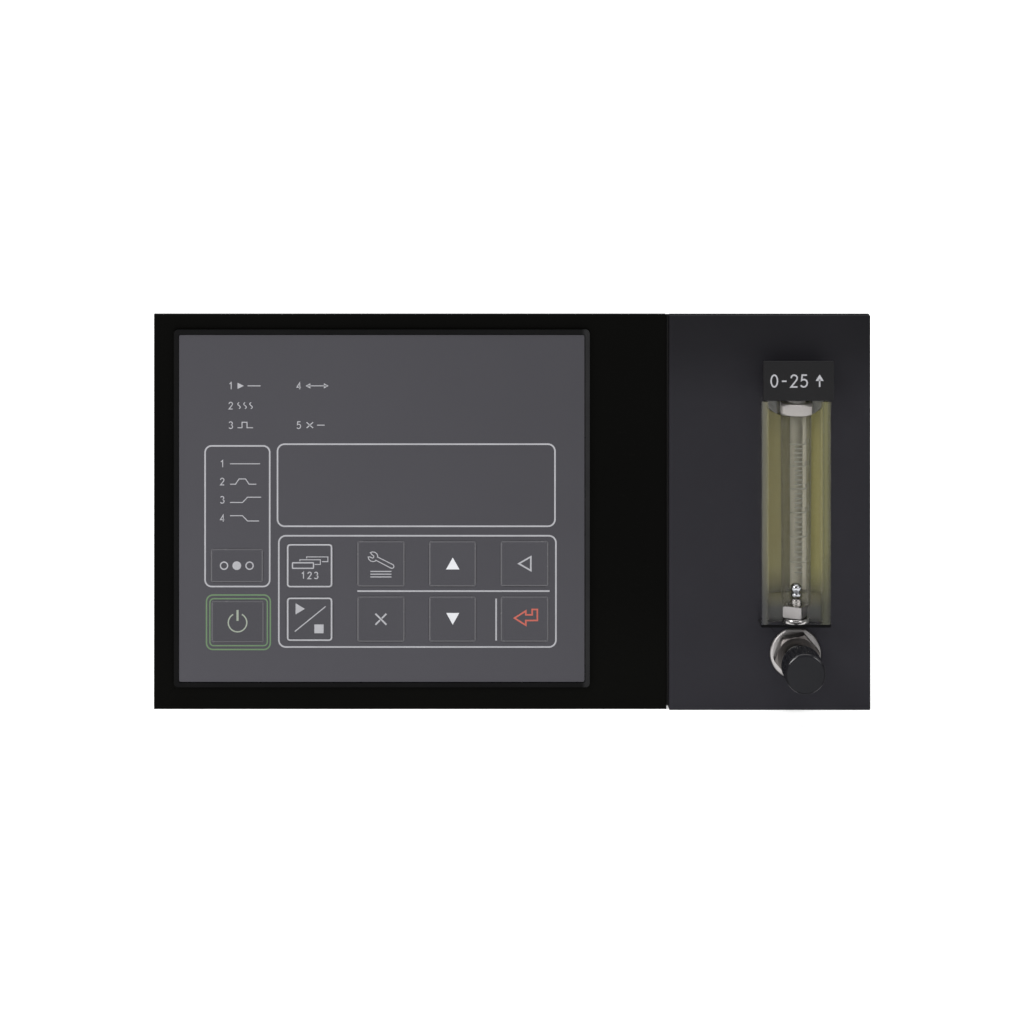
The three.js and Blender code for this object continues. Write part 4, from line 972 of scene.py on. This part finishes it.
# label plate, with plain numbers and a flow arrow
bm = bmesh.new()
loft(
    bm,
    [
        [(x, -57.5, z) for x, z in rrect(113.1, 133.85, 28.0, 15.7, 0.4, 4)],
        [(x, -58.45, z) for x, z in rrect(113.1, 133.85, 28.0, 15.7, 0.4, 4)],
        [(x, -58.66, z) for x, z in rrect(113.1, 133.85, 27.6, 15.3, 0.3, 4)],
        [(x, -58.7, z) for x, z in rrect(113.1, 133.85, 27.2, 14.9, 0.3, 4)],
    ],
)
tidy(bm)
finish_mesh(bm, "label_plate", M["label_black"], smooth=40, replaces=("meter_label_plate",))
bm = bmesh.new()
LP = flat(-58.715)
number(bm, "0-25", 109.3, 131.6, 4.7, 0.6, LP, pitch=0.84)
ribbon(bm, [(121.4, 131.6), (121.4, 134.6)], 0.6, LP)
patch(bm, [(119.8, 134.0), (123.0, 134.0), (121.4, 136.6)], LP)
print_piece(bm, "label_print", M["print_white"], "panel")

# ------------------------------------------------------------------ tube, float, stop, nuts
bm = bmesh.new()
prof = [
    (2.45, 38.1), (3.0, 38.1), (3.1, 38.2), (3.1, 42.9), (4.6, 43.0), (5.3, 43.2), (5.8, 43.7), (5.86, 44.6),
    (5.94, 60), (6.0, 80), (6.08, 100), (6.15, 117.4), (6.05, 118.3), (5.5, 118.9), (4.6, 119.06), (3.1, 119.1),
    (3.1, 128.1), (3.0, 128.2), (2.75, 128.2), (2.66, 110), (2.56, 70),
]
lathe(bm, prof, "z", (TX, TY, 0), 72)
tidy(bm)
for f in bm.faces:
    if all(math.hypot(v.co.x - TX, v.co.y - TY) < 2.9 for v in f.verts):
        f.material_index = 1
finish_mesh(bm, "taper_tube_glass", [M["tube_glass"], M["tube_bore"]], smooth=40, replaces=("taper_tube",))


# pale stripe fused into the back of the glass, which the readings stand out against
bm = bmesh.new()
R_S = 5.0
cols = [-1.85 + 6.3 * i / 16 for i in range(17)]
grid = []
for z in (48.0, 70, 95, 117.4):
    grid.append([bm.verts.new((TX + c, TY + math.sqrt(R_S**2 - c**2), z)) for c in cols])
for a, b in zip(grid, grid[1:]):
    for i in range(len(cols) - 1):
        bm.faces.new((a[i], a[i + 1], b[i + 1], b[i]))
finish_mesh(bm, "tube_stripe", M["stripe"], smooth=60)

# scale: fine ticks with plain numbers, fired on the front of the glass
bm = bmesh.new()


def on_front(x, z):
    r = 6.21
    return (x, TY - math.sqrt(max(0.01, r * r - (x - TX) ** 2)), z)


def arc_line(bm, xa, xb, z, width, n=6):
    ribbon(bm, [(xa + (xb - xa) * i / n, z) for i in range(n + 1)], width, on_front)


z = 57.2
for i in range(28):
    if i % 5 == 2:
        arc_line(bm, TX - 3.3, TX + 3.7, z, 0.34)
        number(bm, str(5 * (i // 5)), TX + 3.6, z + 0.5, 1.3, 0.24, on_front)
    else:
        arc_line(bm, TX - 1.4, TX + 1.8, z, 0.44)
    z += 2.06 - 0.0132 * i
print_piece(bm, "scale_print", M["print_ink"], "panel")

bm = bmesh.new()
lathe(
    bm,
    [
        (0, 0), (0.95, 0.03), (1.6, 0.2), (1.96, 0.5), (2.12, 0.95), (2.14, 1.35), (1.98, 1.8), (1.72, 2.1), (1.6, 2.3),
        (1.78, 2.6), (2.1, 2.95), (2.24, 3.4), (2.24, 4.1), (2.05, 4.75), (1.55, 5.35), (0.8, 5.7), (0, 5.8),
    ],
    "z",
    (TX, TY, 45.8),
    40,
)
tidy(bm)
finish_mesh(bm, "float_bob", M["float_steel"], body="float_body", smooth=60, replaces=("float",))

bm = bmesh.new()
lathe(bm, [(0, 0), (1.9, 0), (2.05, 0.15), (2.05, 6.6), (1.9, 7.0), (1.3, 7.3), (0, 7.4)], "z", (TX, TY, 38.1), 40)
tidy(bm)
finish_mesh(bm, "float_stop_pin", M["nickel"], smooth=40, replaces=("float_stop",))


def square_nut(name, node, z0, z1, side, across, angle, chamfer, collar=None, material="nut_satin", dx=0.0):
    """A chamfered turned blank cut to four flats, as solid wall loops sampled round the axis."""
    bm = bmesh.new()
    n = 96

    def rad(a, r):
        # distance to the square's flat in this direction
        c = abs(math.cos(a - angle)) if abs(math.cos(a - angle)) > abs(math.sin(a - angle)) else abs(math.sin(a - angle))
        return min(r, side / 2 / c)

    rows = []
    steps = 7
    for i in range(steps + 1):
        t = i / steps
        rows.append((across / 2 - chamfer * (1 - t), z0 + chamfer * 0.72 * t))
    for i in range(steps + 1):
        t = i / steps
        rows.append((across / 2 - chamfer * t, z1 - chamfer * 0.72 * (1 - t)))
    loops = []
    loops.append([(3.4 * math.cos(2 * math.pi * i / n), 3.4 * math.sin(2 * math.pi * i / n), z0) for i in range(n)])
    for r, z in rows:
        loops.append(
            [
                (rad(2 * math.pi * i / n, r) * math.cos(2 * math.pi * i / n), rad(2 * math.pi * i / n, r) * math.sin(2 * math.pi * i / n), z)
                for i in range(n)
            ]
        )
    if collar:
        for r, z in collar:
            loops.append([(r * math.cos(2 * math.pi * i / n), r * math.sin(2 * math.pi * i / n), z) for i in range(n)])
        loops.append([(3.4 * math.cos(2 * math.pi * i / n), 3.4 * math.sin(2 * math.pi * i / n), collar[-1][1]) for i in range(n)])
    else:
        loops.append([(3.4 * math.cos(2 * math.pi * i / n), 3.4 * math.sin(2 * math.pi * i / n), z1) for i in range(n)])
    loops = [[(TX + dx + x, TY + y, z) for x, y, z in l] for l in loops]
    loft(bm, loops, closed=True)
    tidy(bm)
    return finish_mesh(bm, name, M[material], smooth=28, replaces=(node,))


square_nut("upper_nut", "upper_gland_nut", 119.4, 123.9, 12.4, 16.0, -0.08, 1.1, collar=[(3.95, 123.9), (3.95, 124.75), (3.85, 124.9)])
square_nut("lower_nut", "lower_gland_nut", 38.1, 42.7, 7.8, 11.0, -0.45, 0.5, material="nut_low", dx=-0.28)

bm = bmesh.new()
lathe(bm, [(5.24, 36.12), (5.36, 36.2), (5.4, 36.9), (5.3, 37.55), (5.05, 37.84), (3.6, 37.86), (3.6, 37.82), (4.9, 37.8), (5.22, 37.5)], "z", (TX - 0.3, TY, 0), 64)
tidy(bm)
finish_mesh(bm, "tube_seat_ring", M["chrome"], smooth=40)

# ------------------------------------------------------------------ needle valve outside
bm = bmesh.new()
lathe(
    bm,
    [(5.2, 0), (10.1, 0), (10.3, 0.15), (10.3, 0.6), (10.17, 0.92), (9.86, 1.26), (9.5, 1.45), (9.1, 1.5), (5.3, 1.5), (5.2, 1.4)],
    "y-",
    (VX, -47.8, VZ),
    96,
)
tidy(bm)
finish_mesh(bm, "valve_trim_ring_chrome", M["ring_chrome"], smooth=35, replaces=("valve_trim_ring",))


def hex_nut(name, node, r_out, depth, y_back, phase, bore, material):
    bm = bmesh.new()
    n = 96
    flatd = r_out * math.cos(math.pi / 6)

    def rad(a, r):
        k = (a - phase) % (math.pi / 3) - math.pi / 6
        return min(r, flatd / math.cos(k))

    rows = []
    ch = 1.35
    steps = 6
    rows.append((bore, 0.0))
    for i in range(steps + 1):
        t = i / steps
        rows.append((r_out - 0.5 * (1 - t), 0.3 * t))
    for i in range(steps + 1):
        t = i / steps
        rows.append((r_out - ch * t, depth - 0.75 * (1 - t)))
    rows.append((6.4, depth))
    rows.append((6.2, depth - 0.15))
    rows.append((bore + 0.4, depth - 0.15))
    rows.append((bore, depth - 0.5))
    loops = []
    for r, h in rows:
        loops.append(
            [
                (
                    VX + (rad(2 * math.pi * i / n, r) if r > 6.5 else r) * math.cos(2 * math.pi * i / n),
                    y_back - h,
                    VZ + (rad(2 * math.pi * i / n, r) if r > 6.5 else r) * math.sin(2 * math.pi * i / n),
                )
                for i in range(n)
            ]
        )
    loft(bm, loops, closed=True)
    tidy(bm)
    return finish_mesh(bm, name, material, smooth=28, replaces=(node,))


hex_nut("valve_nut_chrome", "valve_gland_nut", 9.3, 5.6, -49.6, 1.2208, 5.0, M["dark_chrome"])

# stem, with a fine thread near its inner end
bm = bmesh.new()
prof = [(0, 0), (0.3, 0.1), (0.35, 0.3), (0.6, 2.2), (1.9, 6.0)]
h = 7.0
while h < 24:
    prof += [(1.9, h), (1.62, h + 0.35)]
    h += 0.7
prof += [(1.9, 24.4), (1.9, 44.1), (1.6, 44.5), (0, 44.5)]
lathe(bm, prof, "y-", (VX, -24.4, VZ), 40)
tidy(bm)
finish_mesh(bm, "valve_stem_rod", M["nickel"], body="stem_body", smooth=35, replaces=("valve_stem",))

# knob: hub, skirt and fine grip flutes
bm = bmesh.new()


def flute(a, r, h):
    if r < 7.6 or h < 7.4 or h > 18.2:
        return r
    edge = min(1.0, (h - 7.4) / 1.0, (18.2 - h) / 0.8)
    d = abs(math.sin(a * 12))
    return r - edge * 0.42 * (1 - d) ** 1.5


prof = [
    (2.2, 0), (5.4, 0), (5.65, 0.12), (5.9, 0.5), (6.0, 1.8), (6.2, 4.7), (6.7, 5.25), (7.4, 5.75), (7.85, 6.2), (8.05, 6.75),
    (8.05, 7.2), (8.05, 7.7), (8.05, 8.4), (8.05, 10), (8.05, 13), (8.05, 16), (8.05, 17.2), (8.05, 17.7), (8.05, 18.2), (8.03, 18.5),
    (7.92, 18.9), (7.65, 19.2), (7.3, 19.4), (6.9, 19.5), (5.5, 19.46), (3.0, 19.4), (0, 19.38),
]
inner = [(0, 8.4), (2.0, 8.4), (2.2, 8.2)]
lathe(bm, inner + prof, "y-", (VX, -60.5, VZ), 192, shape=flute)
tidy(bm)
# rim faces take the second material, which carries the painted highlights
for face in bm.faces:
    c = face.calc_center_median()
    if c.y < -79.1 and math.hypot(c.x - VX, c.z - VZ) > 7.2:
        face.material_index = 1
finish_mesh(bm, "knob_body_black", [M["knob_black"], M["knob_rim_painted_highlight"]], body="knob_body", smooth=40, replaces=("valve_knob",))

# ------------------------------------------------------------------ hose ports
for node, z in (("gas_inlet_port", 34), ("gas_outlet_port", 104)):
    bm = bmesh.new()
    c = (88, 80, z)
    lathe(
        bm,
        [
            (1.9, 0), (2.7, 0), (2.9, 0.25), (4.05, 3.4), (4.1, 3.6), (3.4, 3.65), (3.45, 3.9), (4.15, 7.2), (4.2, 7.4), (3.4, 7.45),
            (3.45, 7.7), (4.15, 11.0), (4.2, 11.2), (3.4, 11.25), (3.4, 20.3), (3.4, 25), (5.9, 25), (6.0, 25.0), (6.0, 26.3),
            (5.0, 26.3), (5.0, 33.6), (4.8, 33.8), (1.9, 33.8),
        ],
        "y-",
        c,
        48,
    )

    def hexed(r_out, y_a, y_b):
        n = 72
        fl = r_out * math.cos(math.pi / 6)

        def rad(a, r):
            return min(r, fl / math.cos((a % (math.pi / 3)) - math.pi / 6))

        rows = [(3.6, y_a), (r_out - 0.9, y_a), (r_out - 0.4, y_a - 0.2), (r_out, y_a - 0.45), (r_out, y_b + 0.45), (r_out - 0.4, y_b + 0.2), (r_out - 0.9, y_b), (3.6, y_b)]
        loops = [
            [(88 + (rad(2 * math.pi * i / n, r) if r > 4 else r) * math.cos(2 * math.pi * i / n), y, z + (rad(2 * math.pi * i / n, r) if r > 4 else r) * math.sin(2 * math.pi * i / n)) for i in range(n)]
            for r, y in rows
        ]
        loft(bm, loops, closed=True)

    hexed(8.6, 60.0, 56.3)
    hexed(9.0, 54.2, 50.2)
    tidy(bm)
    finish_mesh(bm, node + "_barb", M["nickel"], smooth=28, replaces=(node,))

# ------------------------------------------------------------------ screws with a cross recess
PAN = [(0, 0), (1.3, 0), (1.5, 0.2), (1.5, 5.1), (3.35, 5.1), (3.4, 5.2), (3.35, 5.45), (3.1, 5.8), (2.7, 6.1), (2.1, 6.32), (1.4, 6.4), (0.9, 6.4), (0, 6.4)]
FLAT = [(0, 0), (1.3, 0), (1.5, 0.2), (1.5, 3.2), (2.7, 4.4), (2.75, 4.46), (2.7, 4.5), (1.4, 4.5), (0, 4.5)]


def cross_screw(name, node, sx, y, z, profile, top, arm):
    bm = bmesh.new()
    lathe(
        bm,
        profile,
        "x" if sx > 0 else "x-",
        (sx * 136.7, y, z),
        40,
    )
    tidy(bm)
    ob = finish_mesh(bm, name, M["screw_steel"], smooth=35, replaces=(node,))
    cb = bmesh.new()
    for ang in (0.5, 0.5 + math.pi / 2):
        ca, sa = math.cos(ang), math.sin(ang)
        loops = []
        for d, half in ((top - 1.4, arm * 0.25), (top + 0.6, arm)):
            loops.append(
                [
                    (sx * (136.7 + d), y + u * ca - v * sa, z + u * sa + v * ca)
                    for u, v in ((-half, -0.34), (half, -0.34), (half, 0.34), (-half, 0.34))
                ]
            )
        loft(cb, loops)
    tidy(cb)
    cm = bpy.data.meshes.new("cut")
    cb.to_mesh(cm)
    cb.free()
    cm.transform(Matrix.Scale(MM, 4))
    co = bpy.data.objects.new("cut", cm)
    bpy.context.scene.collection.objects.link(co)
    md = ob.modifiers.new("recess", "BOOLEAN")
    md.operation = "DIFFERENCE"
    md.solver = "EXACT"
    md.use_self = True
    md.object = co
    bpy.context.view_layer.update()
    dg = bpy.context.evaluated_depsgraph_get()
    new = bpy.data.meshes.new_from_object(ob.evaluated_get(dg))
    ob.modifiers.remove(md)
    old = ob.data
    ob.data = new
    bpy.data.objects.remove(co)
    bpy.data.meshes.remove(cm)
    new.name = name
    new.set_sharp_from_angle(angle=math.radians(30))
    return ob


for i, (sx, y, z) in enumerate([(-1, -34.5, 24), (-1, -34.5, 125), (1, -34.5, 24), (1, -34.5, 125)]):
    cross_screw(f"frame_screw_{i + 1}_head", f"frame_screw_{i + 1}", sx, y, z, FLAT, 4.5, 1.75)
for i, (sx, y, z) in enumerate([(-1, -8, 125), (-1, 44, 125), (1, -8, 125), (1, 44, 125)]):
    cross_screw(f"cover_screw_{i + 1}_head", f"cover_screw_{i + 1}", sx, y, z, PAN, 6.4, 2.1)

# brass contacts in the rear socket
bm = bmesh.new()
for r in (-1, 1):
    for i in range(8):
        lathe(
            bm,
            [(0.55, 0), (0.95, 0), (1.05, 0.15), (1.05, 6.6), (0.55, 6.6)],
            "y-",
            (-66 - 22.4 + i * 6.4, 67.4, 44 + r * 3.8),
            20,
        )
tidy(bm)
finish_mesh(bm, "socket_contacts", M["brass"], smooth=35)

# ------------------------------------------------------------------ dark strip in the seam of the two plates, standing in for the shade in the gap
bm = bmesh.new()
block(bm, 61.92, 62.58, -45.7, -43.2, 1.6, 157.7)
tidy(bm)
finish_mesh(bm, "fascia_seam_shade_strip", M["frame_black"], smooth=0)

# ------------------------------------------------------------------ carried-over CAD nodes
SLOT_MAT = {
    "bezel_plate": ("black_plate", 0.25),
    "gas_panel": ("grey_paint", 0.45),
    "mounting_frame": ("frame_black", 0.2),
    "chassis_tray": ("zinc_steel", 0.25),
    "chassis_cover": ("zinc_steel", 0.25),
    "rear_socket": ("abs_dark", 0.2),
    "controller_bezel": ("bezel_black", 0.25),
    "keypad_film": ("film_grey", 0),
    "key_carrier": ("abs_dark", 0),
    "switch_board": ("board_green", 0),
    "display_module": ("display_dark", 0),
    "indicator_light_guide": ("light_guide", 0),
    "controller_case": ("abs_dark", 0.4),
    "main_board": ("board_green", 0),
    "power_transformer": ("core_steel", 0),
    "output_relay": ("relay_blue", 0.2),
    "ribbon_cable": ("ribbon_grey", 0),
    "panel_clamp_left": ("zinc_steel", 0),
    "panel_clamp_right": ("zinc_steel", 0),
    "wiring_harness": ("wire_sleeve", 0),
    "meter_bracket": ("zinc_steel", 0),
    "meter_backing": ("olive", 0),
    "meter_upper_block": ("block_metal", 0.15),
    "needle_valve_body": ("block_low_painted_light", 0.15),
    "upper_seal": ("seal_rubber", 0),
    "knob_set_screw": ("screw_steel", 0),
    "gas_inlet_hose": ("hose_blue", 0),
    "gas_outlet_hose": ("hose_blue", 0),
}


def smooth_group():
    g = bpy.data.node_groups.new("smooth_by_angle", "GeometryNodeTree")
    g.interface.new_socket("Geometry", in_out="INPUT", socket_type="NodeSocketGeometry")
    g.interface.new_socket("Geometry", in_out="OUTPUT", socket_type="NodeSocketGeometry")
    gi = g.nodes.new("NodeGroupInput")
    go = g.nodes.new("NodeGroupOutput")
    face = g.nodes.new("GeometryNodeSetShadeSmooth")
    edge = g.nodes.new("GeometryNodeSetShadeSmooth")
    edge.domain = "EDGE"
    edge.inputs["Shade Smooth"].default_value = False
    ang = g.nodes.new("GeometryNodeInputMeshEdgeAngle")
    cmp_ = g.nodes.new("ShaderNodeMath")
    cmp_.operation = "GREATER_THAN"
    cmp_.inputs[1].default_value = math.radians(32)
    g.links.new(gi.outputs[0], face.inputs["Geometry"])
    g.links.new(face.outputs[0], edge.inputs["Geometry"])
    g.links.new(ang.outputs["Unsigned Angle"], cmp_.inputs[0])
    g.links.new(cmp_.outputs[0], edge.inputs["Selection"])
    g.links.new(edge.outputs[0], go.inputs[0])
    return g


SMOOTH = smooth_group()
for n, (mname, bev) in SLOT_MAT.items():
    ob = NODE[n]
    ob.data.materials.clear()
    ob.data.materials.append(M[mname])
    wd = ob.modifiers.new("weld", "WELD")
    wd.merge_threshold = 2e-6
    if bev:
        md = ob.modifiers.new("bevel", "BEVEL")
        md.width = bev * MM
        md.segments = 3
        md.limit_method = "ANGLE"
        md.angle_limit = math.radians(38)
        md.miter_outer = "MITER_ARC"
        md.use_clamp_overlap = True
    sm = ob.modifiers.new("smooth", "NODES")
    sm.node_group = SMOOTH
    if bev:
        wn_ = ob.modifiers.new("weighted", "WEIGHTED_NORMAL")
        wn_.mode = "FACE_AREA"
        wn_.weight = 100
        wn_.keep_sharp = True

# ------------------------------------------------------------------ floor, light, camera
bm = bmesh.new()
bmesh.ops.create_grid(bm, x_segments=2, y_segments=2, size=14)
fm = bpy.data.meshes.new("floor")
bm.to_mesh(fm)
bm.free()
floor = bpy.data.objects.new("floor", fm)
bpy.context.scene.collection.objects.link(floor)
fmat = surface("floor_white", (0.62, 0.62, 0.62), 0.9, spec=0.05, vary=0.004, vary_scale=0.6, rough_vary=0.02)
glow = node_of(fmat, "ShaderNodeBsdfPrincipled")
glow.inputs["Emission Color"].default_value = (1, 1, 1, 1)
glow.inputs["Emission Strength"].default_value = 0.5
fm.materials.append(fmat)

world = bpy.data.worlds.new("studio")
bpy.context.scene.world = world
world.use_nodes = True
wn = world.node_tree
wn.nodes.clear()
wo = wn.nodes.new("ShaderNodeOutputWorld")
bg = wn.nodes.new("ShaderNodeBackground")
bg.inputs["Color"].default_value = (1, 1, 1, 1)
bg.inputs["Strength"].default_value = 0.28
wn.links.new(bg.outputs[0], wo.inputs[0])


def area(name, loc, target, size, power, size_y=None, color=(1, 1, 1)):
    ld = bpy.data.lights.new(name, "AREA")
    ld.energy = power
    ld.size = size
    ld.color = color
    if size_y:
        ld.shape = "RECTANGLE"
        ld.size_y = size_y
    ob = bpy.data.objects.new(name, ld)
    ob.location = loc
    d = Vector(target) - Vector(loc)
    ob.rotation_euler = d.to_track_quat("-Z", "Y").to_euler()
    bpy.context.scene.collection.objects.link(ob)
    return ob


sd = bpy.data.lights.new("overhead", "SUN")
sd.energy = 4.2
sd.angle = math.radians(55)
sun = bpy.data.objects.new("overhead", sd)
sun.location = (0, 0, 3)
bpy.context.scene.collection.objects.link(sun)
area("front_soft", (-0.35, -3.1, 1.1), (0, 0, 0.08), 2.4, 60).visible_glossy = False
area("key_left", (-1.35, -1.5, 1.25), (0, 0, 0.08), 0.9, 24)
area("fill_right", (1.5, -1.6, 1.1), (0, 0, 0.08), 0.9, 10)

cam_data = bpy.data.cameras.new("camera")
cam_data.sensor_width = 36
cam_data.clip_end = 60
cam = bpy.data.objects.new("camera", cam_data)
cam.location = (-0.142, -2.046, 0.554)
cam.rotation_euler = (math.radians(90), 0, 0)
bpy.context.scene.collection.objects.link(cam)
# As on a view camera, the lens looks down and to the right at the panel, while the film stays parallel to it.
RIGHT, DOWN = 0.0710094, 0.2375609
look = Matrix.Identity(4)
look[0][2] = -RIGHT
look[1][2] = DOWN
upright = Matrix.Translation(cam.location) @ Matrix.Rotation(math.radians(90), 4, "X")
stand = bpy.data.objects.new("camera_stand", None)
bpy.context.scene.collection.objects.link(stand)
cam.parent = stand
cam.matrix_parent_inverse = upright @ look @ upright.inverted()
cam_data.lens = 175.78 * math.sqrt(1 + RIGHT**2 + DOWN**2)
bpy.context.scene.camera = cam
bpy.context.scene.view_settings.view_transform = "Standard"
